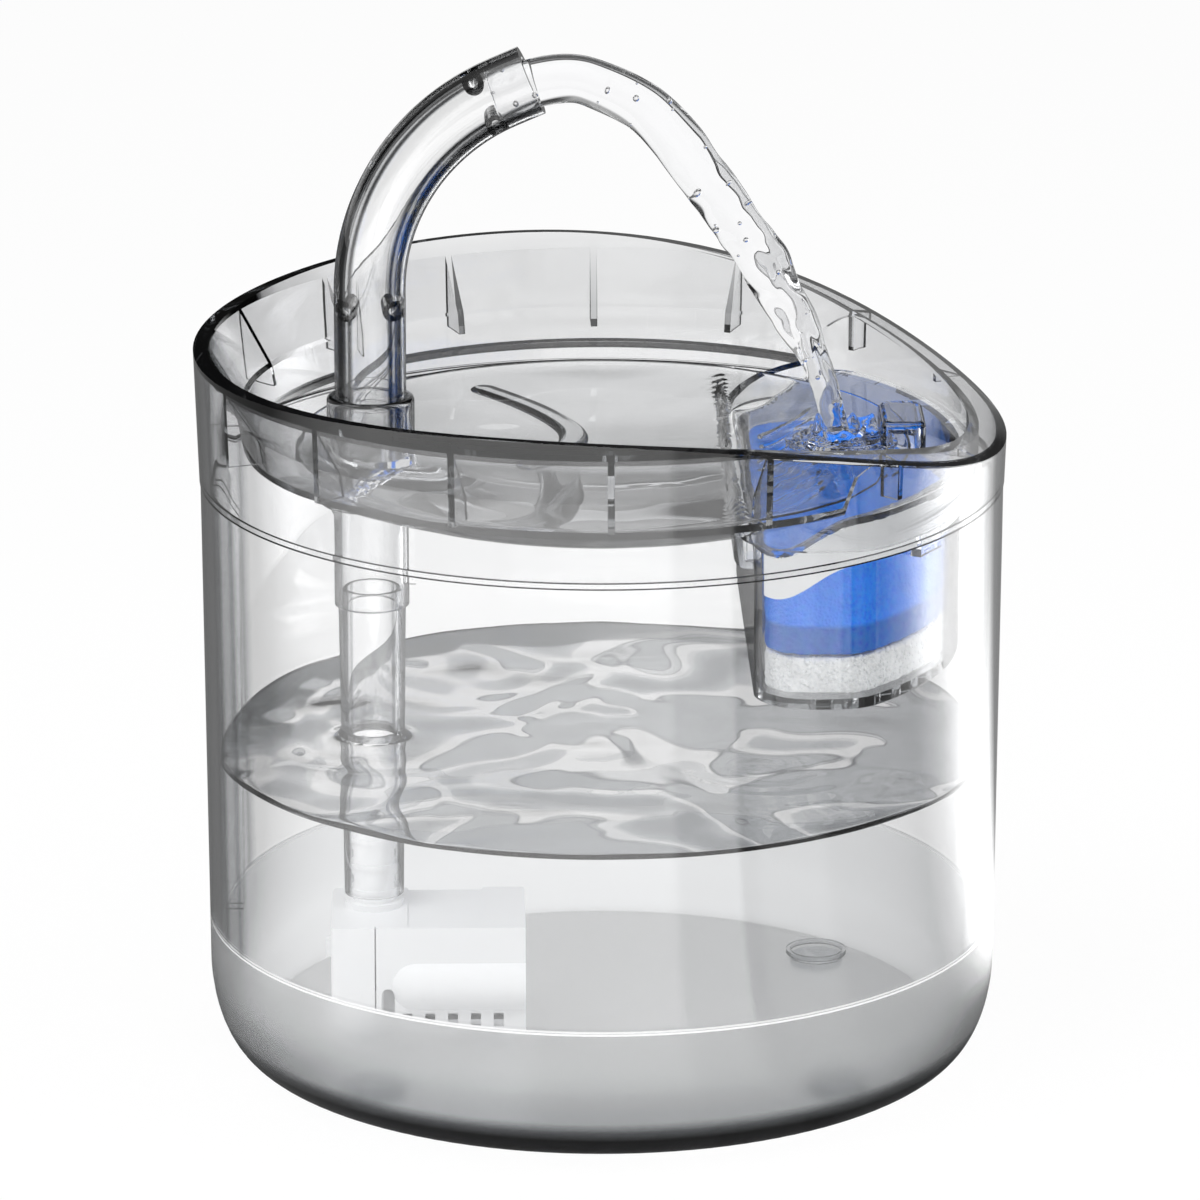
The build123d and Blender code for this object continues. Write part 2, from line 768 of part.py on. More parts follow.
def make_impeller():
    """Vanes, back disc and the sleeve that carries the magnet."""
    vane_x = chamber_x + rotor_gap
    disc_x = vane_x + vane_height
    end_x = can_floor_x - rotor_gap
    body = rod(disc_radius, disc_x, disc_x + disc_thickness) + rod(sleeve_radius, vane_x, end_x)
    vane = block(vane_x, disc_x, axis_y - vane_thickness / 2, axis_y + vane_thickness / 2,
                 axis_z, axis_z + disc_radius)
    for index in range(vane_count):
        body += vane.rotate(Axis((0, axis_y, axis_z), (1, 0, 0)), index * 360 / vane_count)
    return body - rod(shaft_radius + running_clearance, vane_x, end_x)


def make_magnet():
    start = chamber_x + rotor_gap + vane_height + disc_thickness
    end = can_floor_x - rotor_gap
    return rod(magnet_radius, start, end) - rod(sleeve_radius + fit_clearance, start, end)


def make_shaft():
    start = volute_x + fit_clearance
    return rod(shaft_radius, start, can_floor_x + bush_length - fit_clearance)


def tooth_spin(shape, index):
    return shape.rotate(Axis((0, axis_y, axis_z), (1, 0, 0)), 45 + index * 360 / stator_teeth)


def make_stator():
    """The laminated ring with its inward teeth."""
    start = can_x + pump_wall + stator_setback
    end = start + stator_length
    outer = motor_radius - fit_clearance
    inner = can_bore + can_wall + stator_gap
    core = rod(outer, start, end) - rod(outer - stator_ring, start, end)
    tooth = block(start, end, axis_y - tooth_width / 2, axis_y + tooth_width / 2,
                  axis_z + inner, axis_z + outer - stator_ring / 2)
    for index in range(stator_teeth):
        core += tooth_spin(tooth, index)
    return core


def make_coils():
    """One winding round each tooth."""
    start = can_x + pump_wall + stator_setback
    end = start + stator_length
    low = axis_z + can_bore + can_wall + stator_gap
    high = axis_z + motor_radius - stator_ring - 4 * fit_clearance
    half = tooth_width / 2
    wound = half + coil_thickness
    coil = block(start - coil_length, end + coil_length, axis_y - wound, axis_y + wound, low, high)
    coil -= block(start - fit_clearance, end + fit_clearance, axis_y - half - fit_clearance,
                  axis_y + half + fit_clearance, low, high)
    curve = rod(motor_radius - stator_ring - 2 * fit_clearance, start - coil_length, end + coil_length)
    coil = coil & curve
    return Compound(children=[tooth_spin(coil, index) for index in range(stator_teeth)])


def make_board():
    """The driver board with its chip and capacitor."""
    half = board_width / 2
    board = block(board_x, board_x + board_thickness, axis_y - half, axis_y + half,
                  axis_z - half, axis_z + half)
    face = board_x + board_thickness
    chip = block(face, face + chip_height, axis_y - chip_size, axis_y, axis_z - chip_size, axis_z)
    capacitor = rod(capacitor_radius, face, face + capacitor_height,
                    axis_y + half / 2, axis_z + half / 2)
    return board + chip + capacitor


def make_end_cap():
    cap = block(housing_right, pump_right, housing_front, pump_back, pump_bottom, pump_top)
    edges = cap.edges().filter_by(Axis.Z).group_by(Axis.X)[-1].group_by(Axis.Y)[-1]
    return fillet(edges, pump_corner / 2)


def make_gland():
    """The rubber gland for the pump's cable, in the back wall."""
    x = pump_right - gland_inset
    inner_y = axis_y + motor_radius - pump_wall / 2
    outer_y = pump_back + gland_flange_thickness + gland_length
    plug = Pos(x, pump_back, axis_z) * extrude(
        Plane.XZ * Circle(gland_radius - fit_clearance), pump_back - inner_y)
    flange = Pos(x, pump_back + gland_flange_thickness, axis_z) * extrude(
        Plane.XZ * Circle(gland_flange), gland_flange_thickness)
    nose = Pos(x, outer_y, axis_z) * extrude(
        Plane.XZ * Circle(gland_radius - fit_clearance), gland_length)
    hole = Pos(x, outer_y, axis_z) * extrude(Plane.XZ * Circle(gland_bore), outer_y - inner_y)
    return plug + flange + nose - hole


def make_strainer():
    """The front cover with its bulge for the prefilter, its slots and its arched notch."""
    plate = block(strainer_left, pump_right, pump_front, housing_front - fit_clearance,
                  pump_bottom, pump_top)
    left = strainer_left + bulge_inset
    bulge = rod(bulge_radius, left, pump_right, bulge_y, bulge_z)
    bulge += Pos(left, bulge_y, bulge_z) * Sphere(bulge_radius)
    bulge = bulge & block(-big, big, -big, housing_front - fit_clearance, 0, big)
    inner = bulge_radius - bulge_wall
    room = rod(inner, left, pump_right - bulge_wall, bulge_y, bulge_z)
    cover = plate + bulge - room
    first = pump_right - slot_inset
    for index in range(slot_count):
        x = first - index * slot_pitch
        cover -= block(x - slot_width, x, -big, 0, pump_bottom + slot_foot,
                       pump_bottom + slot_foot + slot_height)
    notch_middle = strainer_left + notch_width / 2 + bulge_wall
    arch_z = pump_bottom + notch_top - notch_width / 2
    cover -= block(notch_middle - notch_width / 2, notch_middle + notch_width / 2, -big, 0,
                   pump_bottom, arch_z)
    cover -= Pos(notch_middle, 0, arch_z) * extrude(Plane.XZ * Circle(notch_width / 2), big)
    return cover


def make_prefilter():
    """The small sponge behind the front cover's bulge."""
    radius = bulge_radius - bulge_wall - prefilter_clearance
    left = strainer_left + bulge_inset + prefilter_clearance
    right = pump_right - end_cap - plenum_inset - prefilter_clearance
    sponge = rod(radius, left, right, bulge_y, bulge_z)
    return sponge & block(-big, big, -big, plenum_back - prefilter_clearance, 0, big)


# ---------------------------------------------------------------- filter
def make_filter_cup():
    """The clear cup: slotted floor with ribs, wavy top edge, outer band and chord flange."""
    under_wave = below_curve(wave_points())
    wall = extrude(filter_outline(0.0), filter_drop + ceiling)
    room = extrude(filter_outline(-filter_wall), filter_drop + ceiling)
    cup = Pos(0, 0, cup_foot_z) * wall - Pos(0, 0, cup_foot_z + filter_floor) * room
    middle = (filter_chord + filter_radius) / 2
    for index in range(floor_rib_count):
        y = (index - (floor_rib_count - 1) / 2) * 2 * drain_slot_pitch
        rib = block(filter_chord + filter_wall / 2, filter_radius - 2 * filter_wall,
                    y - floor_rib_width / 2, y + floor_rib_width / 2,
                    cup_foot_z + filter_floor / 2, cup_foot_z + filter_floor + floor_rib_height)
        cup += rib
    for index in range(drain_slot_count):
        x = middle + (index - (drain_slot_count - 1) / 2) * drain_slot_pitch
        slot = Pos(x, 0) * SlotOverall(drain_slot_length, drain_slot_width, 90)
        cup -= Pos(0, 0, cup_foot_z) * extrude(slot, filter_floor)
    band_low = below_curve(wave_points(-band_height))
    ring = extrude(filter_outline(band_thickness) - filter_outline(-filter_wall / 2),
                   filter_drop + ceiling)
    band = (Pos(0, 0, cup_foot_z) * ring - band_low) & past_chord()
    cup += band
    cup = cup & under_wave
    ledge_z = seam_z - well_foot_depth + ledge_height
    half = filter_half_width - filter_corner - seat_clearance
    cup += block(filter_chord - ledge_width, filter_chord + filter_wall / 2, -half, half, ledge_z,
                 ledge_z + flange_thickness)
    return cup


def past_chord():
    """The space to the right of the filter's chord wall."""
    return block(filter_chord + filter_wall, big, -big, big, -big, big)


def foam(foot, height):
    outline = filter_outline(-filter_wall - foam_clearance)
    return Pos(0, 0, foot) * extrude(outline, height)


def make_cotton():
    return foam(cup_foot_z + filter_floor + floor_rib_height, cotton_height)


def make_sponge():
    return foam(cup_foot_z + filter_floor + floor_rib_height + cotton_height, sponge_height)


def make_filter_cover():
    """The wavy lid on the cup, with inlet slots and a hollow raised grip."""
    plate = Pos(0, 0, cup_foot_z) * extrude(filter_outline(band_thickness), filter_drop + ceiling)
    plate = (plate & below_curve(wave_points(cover_thickness))) - below_curve(wave_points())
    for index in range(cover_slot_count):
        y = (index - (cover_slot_count - 1) / 2) * cover_slot_pitch
        slot = Pos(filter_chord + cover_slot_inset, y) * SlotOverall(cover_slot_length, cover_slot_width)
        plate -= Pos(0, 0, cup_foot_z) * extrude(slot, filter_drop + ceiling)
    grip_x = filter_radius - handle_inset
    foot = seam_z + wave_top + cover_thickness / 2
    grip = Pos(grip_x, 0, foot) * extrude(
        RectangleRounded(handle_width, handle_length, handle_corner), handle_height)
    grip = fillet(grip.edges().group_by(Axis.Z)[-1], handle_corner / 2)
    room = Pos(grip_x, 0, foot - cover_thickness) * extrude(
        RectangleRounded(handle_width - 2 * handle_wall, handle_length - 2 * handle_wall,
                         handle_corner - handle_wall), handle_height + cover_thickness - handle_wall)
    return plate + grip - room


# ---------------------------------------------------------------- nodes
front_half, rear_half = make_faucet()
nodes = {
    "tank": (make_tank(), "lightsteelblue"),
    "tank_feet": (make_feet(), "gray"),
    "drinking_tray": (make_tray(), "lightcyan"),
    "faucet_front_half": (front_half, "azure"),
    "faucet_rear_half": (rear_half, "lightblue"),
    "flow_ring": (make_flow_ring(), "silver"),
    "riser_tube": (make_riser(), "powderblue"),
    "filter_cup": (make_filter_cup(), "lavender"),
    "filter_cover": (make_filter_cover(), "thistle"),
    "filter_sponge": (make_sponge(), "royalblue"),
    "filter_cotton": (make_cotton(), "white"),
    "pump_housing": (make_housing(), "whitesmoke"),
    "pump_end_cap": (make_end_cap(), "gainsboro"),
    "outlet_nozzle": (make_nozzle(), "white"),
    "strainer_cover": (make_strainer(), "ivory"),
    "prefilter_sponge": (make_prefilter(), "dimgray"),
    "intake_cover": (make_intake_cover(), "snow"),
    "flow_adjuster": (make_flow_adjuster(), "lightgray"),
    "volute_plate": (make_volute_plate(), "linen"),
    "shaft_bush_front": (make_bush(volute_x), "tan"),
    "shaft_bush_rear": (make_bush(can_floor_x), "tan"),
    "rotor_shaft": (make_shaft(), "beige"),
    "impeller": (make_impeller(), "orange"),
    "rotor_magnet": (make_magnet(), "black"),
    "stator_core": (make_stator(), "slategray"),
    "stator_coils": (make_coils(), "chocolate"),
    "driver_board": (make_board(), "green"),
    "potting_seal": (rod(motor_radius - fit_clearance, potting_x, housing_right), "black"),
    "suction_cups": (make_suction_cups(), "lightgray"),
    "cable_gland": (make_gland(), "darkgray"),
}
for node_name, (node_shape, node_colour) in nodes.items():
    save(node_name, node_shape, node_colour)
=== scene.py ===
import math

import bmesh
import bpy
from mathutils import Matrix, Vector, noise


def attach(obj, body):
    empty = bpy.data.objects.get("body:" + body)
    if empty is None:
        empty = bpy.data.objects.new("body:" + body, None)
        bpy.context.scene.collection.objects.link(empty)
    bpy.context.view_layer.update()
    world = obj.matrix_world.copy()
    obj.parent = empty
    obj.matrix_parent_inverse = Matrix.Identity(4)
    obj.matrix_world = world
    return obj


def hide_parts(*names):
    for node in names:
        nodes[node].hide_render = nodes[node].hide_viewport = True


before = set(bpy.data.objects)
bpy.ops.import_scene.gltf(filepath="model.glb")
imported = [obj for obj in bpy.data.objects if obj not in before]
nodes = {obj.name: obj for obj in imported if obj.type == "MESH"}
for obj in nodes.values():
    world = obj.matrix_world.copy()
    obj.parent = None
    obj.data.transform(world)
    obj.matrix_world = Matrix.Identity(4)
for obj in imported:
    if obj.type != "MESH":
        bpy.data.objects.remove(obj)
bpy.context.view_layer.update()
scene = bpy.context.scene
mm = 0.001
white = (1, 1, 1, 1)
absorbTint = (0.60, 0.61, 0.62, 1)  # what a long way through clear plastic leaves of white
noiseLow, noiseHigh = 0.3, 0.7  # the part of its range that a noise texture really fills
print("frame loaded,", len(nodes), "nodes")


def linearColour(hexText):
    # an sRGB hex value as the linear colour that the shader wants
    channels = [int(hexText[i:i + 2], 16) / 255 for i in (0, 2, 4)]
    return [c / 12.92 if c <= 0.04045 else ((c + 0.055) / 1.055) ** 2.4 for c in channels] + [1.0]


def addNode(tree, kind, inputs=None, stops=(), **settings):
    # a node with its settings; an input is a value, an output socket, or a node whose first output is meant
    node = tree.nodes.new(kind)
    for name, value in settings.items():
        setattr(node, name, value)
    for key, value in (inputs or {}).items():
        if isinstance(value, bpy.types.Node):
            value = value.outputs[0]
        if isinstance(value, bpy.types.NodeSocket):
            tree.links.new(value, node.inputs[key])
        else:
            node.inputs[key].default_value = value
    if stops:
        # a ramp's stops: a place, and an sRGB hex value or a plain level
        elements = node.color_ramp.elements
        while len(elements) < len(stops):
            elements.new(0.5)
        for element, (place, colour) in zip(elements, stops):
            element.position = place
            element.color = linearColour(colour) if isinstance(colour, str) else (colour, colour, colour, 1)
    return node


def startMaterial(name):
    material = bpy.data.materials.new(name)
    material.use_nodes = True
    material.node_tree.nodes.clear()
    return material, material.node_tree


def spotOnPiece(tree):
    # a spot's X, Y and Z, the same without its height, and how far it is from the tank's upright axis
    spot = addNode(tree, "ShaderNodeSeparateXYZ", {0: addNode(tree, "ShaderNodeTexCoord").outputs["Object"]})
    flat = addNode(tree, "ShaderNodeCombineXYZ", {0: spot.outputs["X"], 1: spot.outputs["Y"]}).outputs[0]
    away = addNode(tree, "ShaderNodeVectorMath", {0: flat}, operation="LENGTH").outputs["Value"]
    return spot, flat, away


# camera: a long lens a little above the rim
cameraView = {"distance": 2.0, "pitch": 17.02, "turn": -1.3, "aimHeight": 0.1042,
              "lens": 268.74, "sensor": 36, "shiftX": -0.00158, "clipEnd": 50}
pitch, turn = math.radians(cameraView["pitch"]), math.radians(cameraView["turn"])
cameraReach = cameraView["distance"] * math.cos(pitch)
cameraData = bpy.data.cameras.new("camera")
cameraData.lens = cameraView["lens"]
cameraData.sensor_width = cameraView["sensor"]
cameraData.shift_x = cameraView["shiftX"]
cameraData.clip_end = cameraView["clipEnd"]
camera = bpy.data.objects.new("camera", cameraData)
camera.location = (cameraReach * math.sin(turn), -cameraReach * math.cos(turn),
                   cameraView["aimHeight"] + cameraView["distance"] * math.sin(pitch))
camera.rotation_euler = (math.pi / 2 - pitch, 0, turn)
scene.collection.objects.link(camera)
scene.camera = camera

scene.view_settings.view_transform = "Standard"
# enough bounces for rays to cross every clear wall and the water
bounces = {"max_bounces": 24, "transmission_bounces": 24, "glossy_bounces": 8, "diffuse_bounces": 4,
           "transparent_max_bounces": 32}
for name, count in bounces.items():
    setattr(scene.cycles, name, count)

# studio: white round the horizon, black flags above it, a soft box overhead
studio = {"ambient": 0.66, "flagDark": 0.02, "flagLight": 0.40, "stripes": 6.0, "stripeFrom": -0.2, "stripeTo": 0.5,
          # how much of the flags shows, from straight down at 0 by the horizon at 0.5 to straight up at 1
          "flags": [(0.0, 0.0), (0.545, 0.0), (0.585, 1.0), (0.86, 1.0), (0.92, 0.0), (1.0, 0.0)],
          # lamps: name, place, size and power
          "lamps": [("key", (-0.5, -0.5, 1.1), 0.7, 7.5), ("fill", (0.8, -0.3, 0.8), 0.6, 4.5)],
          "lampAim": (0, 0, 0.1)}
world = bpy.data.worlds.new("studio")
world.use_nodes = True
scene.world = world
tree = world.node_tree
tree.nodes.clear()
direction = addNode(tree, "ShaderNodeTexCoord").outputs["Generated"]
parts = addNode(tree, "ShaderNodeSeparateXYZ", {0: direction})
azimuth = addNode(tree, "ShaderNodeMath", {0: parts.outputs["Y"], 1: parts.outputs["X"]}, operation="ARCTAN2")
turns = addNode(tree, "ShaderNodeMath", {0: azimuth, 1: studio["stripes"]}, operation="MULTIPLY")
stripe = addNode(tree, "ShaderNodeMath", {0: turns}, operation="SINE")
stripeLevel = addNode(tree, "ShaderNodeMapRange", {0: stripe, 1: studio["stripeFrom"], 2: studio["stripeTo"],
                                                   3: studio["flagDark"], 4: studio["flagLight"]})
heightPlace = addNode(tree, "ShaderNodeMapRange", {0: parts.outputs["Z"], 1: -1.0})
flagShare = addNode(tree, "ShaderNodeValToRGB", {0: heightPlace}, studio["flags"])
seen = addNode(tree, "ShaderNodeMix", {0: flagShare, 6: white, 7: stripeLevel}, data_type="RGBA")
ray = addNode(tree, "ShaderNodeLightPath").outputs
through = addNode(tree, "ShaderNodeMath", {0: ray["Is Glossy Ray"], 1: ray["Is Transmission Ray"]}, operation="MAXIMUM")
ambient = (studio["ambient"],) * 3 + (1,)
lit = addNode(tree, "ShaderNodeMix", {0: through, 6: ambient, 7: seen.outputs[2]}, data_type="RGBA")
final = addNode(tree, "ShaderNodeMix", {0: ray["Is Camera Ray"], 6: lit.outputs[2], 7: white}, data_type="RGBA")
background = addNode(tree, "ShaderNodeBackground", {0: final.outputs[2]})
addNode(tree, "ShaderNodeOutputWorld", {0: background})

for name, place, size, power in studio["lamps"]:
    lampData = bpy.data.lights.new(name, "AREA")
    lampData.size = size
    lampData.energy = power
    lamp = bpy.data.objects.new(name, lampData)
    lamp.location = place
    lamp.rotation_euler = (Vector(studio["lampAim"]) - Vector(place)).to_track_quat("-Z", "Y").to_euler()
    lamp.visible_camera = False
    lamp.visible_glossy = False
    lamp.visible_transmission = False
    scene.collection.objects.link(lamp)

# floor: white to the eye and through the plastic, with the object's soft shadow kept;
# reflections see painted white and grey cards in the paper's own glow, and a painted black ring close in
floorLook = {
    "paper": 0.9, "glow": 0.90, "half": 4, "height": -0.0003,
    # the painted cards, from the back by the left, the front and the right to the back again: place and level
    "paintedCards": [(0.0, 0.02), (0.22, 0.03), (0.32, 0.50), (0.545, 0.50), (0.549, 0.30), (0.590, 0.30), (0.594, 0.02),
              (0.603, 0.02), (0.608, 0.10), (0.655, 0.10), (0.661, 0.02), (0.750, 0.02), (0.782, 0.30), (0.805, 0.65),
              (0.83, 0.90), (0.87, 0.35), (0.895, 0.06), (1.0, 0.03)], "cardPeak": 5.0,
    # the painted black ring, by how flat the paper is seen, and the radius inside which it is left out
    "ring": [(0.0, 1.0), (0.09, 1.0), (0.13, 0.03), (0.36, 0.03), (0.45, 1.0), (1.0, 1.0)], "ringFrom": 0.10,
    # a painted shadow on the paper under the object, seen only in reflections, so the object's lower corner mirrors the
    # dark
    "shadeFrom": 0.105, "shadeTo": 0.150, "shade": 0.03}
floorMaterial, tree = startMaterial("whiteSweepPaper")
ray = addNode(tree, "ShaderNodeLightPath").outputs
viewRay = addNode(tree, "ShaderNodeMath", {0: ray["Is Camera Ray"], 1: ray["Is Glossy Ray"]}, operation="MAXIMUM")
viewRay = addNode(tree, "ShaderNodeMath", {0: viewRay, 1: ray["Is Transmission Ray"]}, operation="MAXIMUM")
share = addNode(tree, "ShaderNodeMath", {0: viewRay, 1: floorLook["glow"]}, operation="MULTIPLY")
spot, flat, away = spotOnPiece(tree)
frontward = addNode(tree, "ShaderNodeMath", {0: spot.outputs["Y"], 1: -1.0}, operation="MULTIPLY")
around = addNode(tree, "ShaderNodeMath", {0: spot.outputs["X"], 1: frontward}, operation="ARCTAN2")
around = addNode(tree, "ShaderNodeMapRange", {0: around, 1: -math.pi, 2: math.pi})
# painted reflections: the paper glows in card shapes for reflected rays only
paintedCards = addNode(tree, "ShaderNodeValToRGB", {0: around}, floorLook["paintedCards"])
paintedCards = addNode(tree, "ShaderNodeMath", {0: paintedCards, 1: floorLook["cardPeak"]}, operation="MULTIPLY")
# painted shadow: the cards' glow fades out under the object by radius
shade = addNode(tree, "ShaderNodeMapRange", {0: away, 1: floorLook["shadeFrom"], 2: floorLook["shadeTo"],
                                             3: floorLook["shade"], 4: 1.0})
paintedCards = addNode(tree, "ShaderNodeMath", {0: paintedCards, 1: shade}, operation="MULTIPLY")
mirrored = addNode(tree, "ShaderNodeMath", {0: ray["Glossy Depth"], 1: 0.5}, operation="GREATER_THAN")
level = addNode(tree, "ShaderNodeMix", {0: mirrored, 2: 1.0, 3: paintedCards}, data_type="FLOAT")
steep = addNode(tree, "ShaderNodeLayerWeight").outputs["Facing"]
# painted shade: a black ring for rays that see the paper steeply, but not for the eye
ring = addNode(tree, "ShaderNodeValToRGB", {0: steep}, floorLook["ring"])
under = addNode(tree, "ShaderNodeMath", {0: away, 1: floorLook["ringFrom"]}, operation="LESS_THAN")
plain = addNode(tree, "ShaderNodeMath", {0: under, 1: ray["Is Camera Ray"]}, operation="MAXIMUM")
ring = addNode(tree, "ShaderNodeMix", {0: plain, 2: ring, 3: 1.0}, data_type="FLOAT")
level = addNode(tree, "ShaderNodeMath", {0: level, 1: ring}, operation="MULTIPLY")
glow = addNode(tree, "ShaderNodeEmission", {0: white, 1: level})
paper = addNode(tree, "ShaderNodeBsdfDiffuse", {0: (floorLook["paper"],) * 3 + (1,)})
mix = addNode(tree, "ShaderNodeMixShader", {0: share, 1: paper, 2: glow})
addNode(tree, "ShaderNodeOutputMaterial", {0: mix})
floorMesh = bpy.data.meshes.new("floor")
floorCorners = [(x * floorLook["half"], y * floorLook["half"], floorLook["height"])
                for x, y in ((-1, -1), (1, -1), (1, 1), (-1, 1))]
floorMesh.from_pydata(floorCorners, [], [(0, 1, 2, 3)])
floorMesh.materials.append(floorMaterial)
floor = bpy.data.objects.new("floor", floorMesh)
scene.collection.objects.link(floor)
print("stage ready")


def finishClear(tree, body, shadowTint, density=0.0):
    # shadow and diffuse rays go straight through, so what is inside is lit without caustics
    ray = addNode(tree, "ShaderNodeLightPath").outputs
    straight = addNode(tree, "ShaderNodeMath", {0: ray["Is Shadow Ray"], 1: ray["Is Diffuse Ray"]}, operation="MAXIMUM")
    clear = addNode(tree, "ShaderNodeBsdfTransparent", {0: (shadowTint,) * 3 + (1,)})
    mix = addNode(tree, "ShaderNodeMixShader", {0: straight, 1: body, 2: clear})
    ends = {"Surface": mix}
    if density:
        # thick plastic is a little grey
        ends["Volume"] = addNode(tree, "ShaderNodeVolumeAbsorption", {"Color": absorbTint, "Density": density})
    addNode(tree, "ShaderNodeOutputMaterial", ends)


def paintedDarkEdges(tree, look):
    # painted shade: the level top of the low front edge is painted dark, and so is the dish's edge at the back
    spot, flat, away = spotOnPiece(tree)
    normal = addNode(tree, "ShaderNodeSeparateXYZ", {0: addNode(tree, "ShaderNodeNewGeometry").outputs["Normal"]})
    level = addNode(tree, "ShaderNodeMath", {0: normal.outputs["Z"]}, operation="ABSOLUTE")
    level = addNode(tree, "ShaderNodeMath", {0: level, 1: 0.5}, operation="GREATER_THAN")
    rim = addNode(tree, "ShaderNodeMath", {0: away, 1: look["rimFrom"]}, operation="GREATER_THAN")
    rim = addNode(tree, "ShaderNodeMath", {0: rim, 1: level}, operation="MULTIPLY")
    front = addNode(tree, "ShaderNodeMapRange", {0: spot.outputs["Y"], 1: look["rimFades"], 2: -look["rimFades"]})
    rim = addNode(tree, "ShaderNodeMath", {0: rim, 1: front}, operation="MULTIPLY")
    arc = addNode(tree, "ShaderNodeMath", {0: away, 1: look["dishEdge"], 2: look["dishEdgeHalf"]}, operation="COMPARE")
    back = addNode(tree, "ShaderNodeMapRange", {0: spot.outputs["Y"], 1: look["arcFrom"], 2: look["arcTo"]})
    arc = addNode(tree, "ShaderNodeMath", {0: arc, 1: back}, operation="MULTIPLY")
    arc = addNode(tree, "ShaderNodeMath", {0: arc, 1: level}, operation="MULTIPLY")
    edge = addNode(tree, "ShaderNodeMath", {0: rim, 1: arc}, operation="MAXIMUM")
    return addNode(tree, "ShaderNodeMath", {0: edge, 1: look["rimShare"]}, operation="MULTIPLY")


def paintedWaveLight(tree, look, tone):
    # waves are painted as pale highlight leaves with a fine dark outline, and along the far wall a painted dark
    # reflection
    spot, flat, away = spotOnPiece(tree)
    where = addNode(tree, "ShaderNodeTexCoord").outputs["Object"]
    wave = addNode(tree, "ShaderNodeTexNoise", {"Vector": where, "Scale": 1 / look["leafSize"],
                                                "Detail": look["leafDetail"], "Distortion": look["leafBend"]})
    leaf = addNode(tree, "ShaderNodeValToRGB", {0: wave.outputs["Fac"]}, look["leafPaintedLight"])
    leaves = addNode(tree, "ShaderNodeMix", {0: 1.0, 6: tone, 7: leaf}, data_type="RGBA", blend_type="MULTIPLY")
    jog = addNode(tree, "ShaderNodeMapRange", {0: wave.outputs["Fac"], 1: noiseLow, 2: noiseHigh,
                                               3: -look["farJog"], 4: look["farJog"]})
    away = addNode(tree, "ShaderNodeMath", {0: away, 1: jog}, operation="ADD")
    far = addNode(tree, "ShaderNodeMapRange", {0: away, 1: look["farFrom"], 2: look["farFrom"] + look["farBlur"]})
    back = addNode(tree, "ShaderNodeMapRange", {0: spot.outputs["Y"], 1: look["farBack"][0], 2: look["farBack"][1]})
    left = addNode(tree, "ShaderNodeMapRange", {0: spot.outputs["X"], 1: look["farSide"][0], 2: look["farSide"][1],
                                                3: 1.0, 4: look["farRight"]})
    far = addNode(tree, "ShaderNodeMath", {0: far, 1: back}, operation="MULTIPLY")
    far = addNode(tree, "ShaderNodeMath", {0: far, 1: left}, operation="MULTIPLY")
    mixed = addNode(tree, "ShaderNodeMix", {0: far, 6: leaves.outputs[2], 7: linearColour(look["farPaintedDark"])},
                    data_type="RGBA")
    return mixed.outputs[2]


def clearMaterial(name, look):
    # clear plastic or water: pale face on, with painted shade darker towards the edges of a form
    material, tree = startMaterial(name)
    facing = addNode(tree, "ShaderNodeLayerWeight").outputs["Facing"]
    # painted shade: the colour darkens where the surface is seen edge on
    tone = addNode(tree, "ShaderNodeValToRGB", {0: facing}, look["tone"]).outputs[0]
    if "leafSize" in look:
        tone = paintedWaveLight(tree, look, tone)
    body = addNode(tree, "ShaderNodeBsdfPrincipled", {"Base Color": tone, "Roughness": look["roughness"],
                                                      "IOR": look["ior"], "Transmission Weight": 1.0})
    if "rimFrom" in look:
        # painted shade: a dark diffuse mixed in on the rim and the dish's edge
        dark = addNode(tree, "ShaderNodeBsdfDiffuse", {0: linearColour(look["rimPaintedDark"])})
        body = addNode(tree, "ShaderNodeMixShader", {0: paintedDarkEdges(tree, look), 1: body, 2: dark})
    finishClear(tree, body, look["shadowTint"], look.get("density", 0.0))
    return material


# styrene-acrylonitrile, injection moulded and unpainted: water clear, glossy, with painted shade grey where it is seen
# edge on
clearLook = {"tone": [(0.0, "FEFEFE"), (0.70, "FAFAFB"), (0.81, "DCDEE0"), (0.90, "5A5D60"), (0.96, "0C0D0E"),
                      (1.0, "060607")],
             "roughness": 0.012, "ior": 1.52, "shadowTint": 0.99, "density": 38.0}
clearPlastic = clearMaterial("clearStyreneMoulded", clearLook)

# the same plastic in the tray, whose double walls pile up more grey, with its edges painted near black as shade
trayLook = dict(clearLook, density=110.0, rimFrom=87.4 * mm, rimFades=15 * mm, rimPaintedDark="0A0A0B", rimShare=0.85,
                dishEdge=77.4 * mm, dishEdgeHalf=1.0 * mm, arcFrom=20 * mm, arcTo=45 * mm)
trayPlastic = clearMaterial("clearStyreneTray", trayLook)

# and in the round tubes, where painted reflections put a black line, a bright one and a black one along the wall seen
# along its curve
tubePaintedLines = [(0.0, "FEFEFE"), (0.26, "FAFAFA"), (0.31, "8C8E90"), (0.36, "161718"), (0.47, "0A0A0B"), (0.53, "86888A"),
            (0.62, "E6E7E8"), (0.72, "DADBDC"), (0.80, "4A4C4E"), (0.88, "070708"), (1.0, "040405")]
tubePlastic = clearMaterial("clearStyreneTube", dict(clearLook, tone=tubePaintedLines))
# in the riser, painted reflections: dark and bright lines along the wall seen along its curve
riserPaintedLines = [(0.0, "FEFEFE"), (0.36, "F6F6F7"), (0.42, "A0A2A4"), (0.52, "8A8C8E"), (0.58, "E0E1E2"), (0.76, "C8C9CB"),
             (0.84, "303234"), (1.0, "040405")]
riserPlastic = clearMaterial("clearStyreneRiser", dict(clearLook, tone=riserPaintedLines))

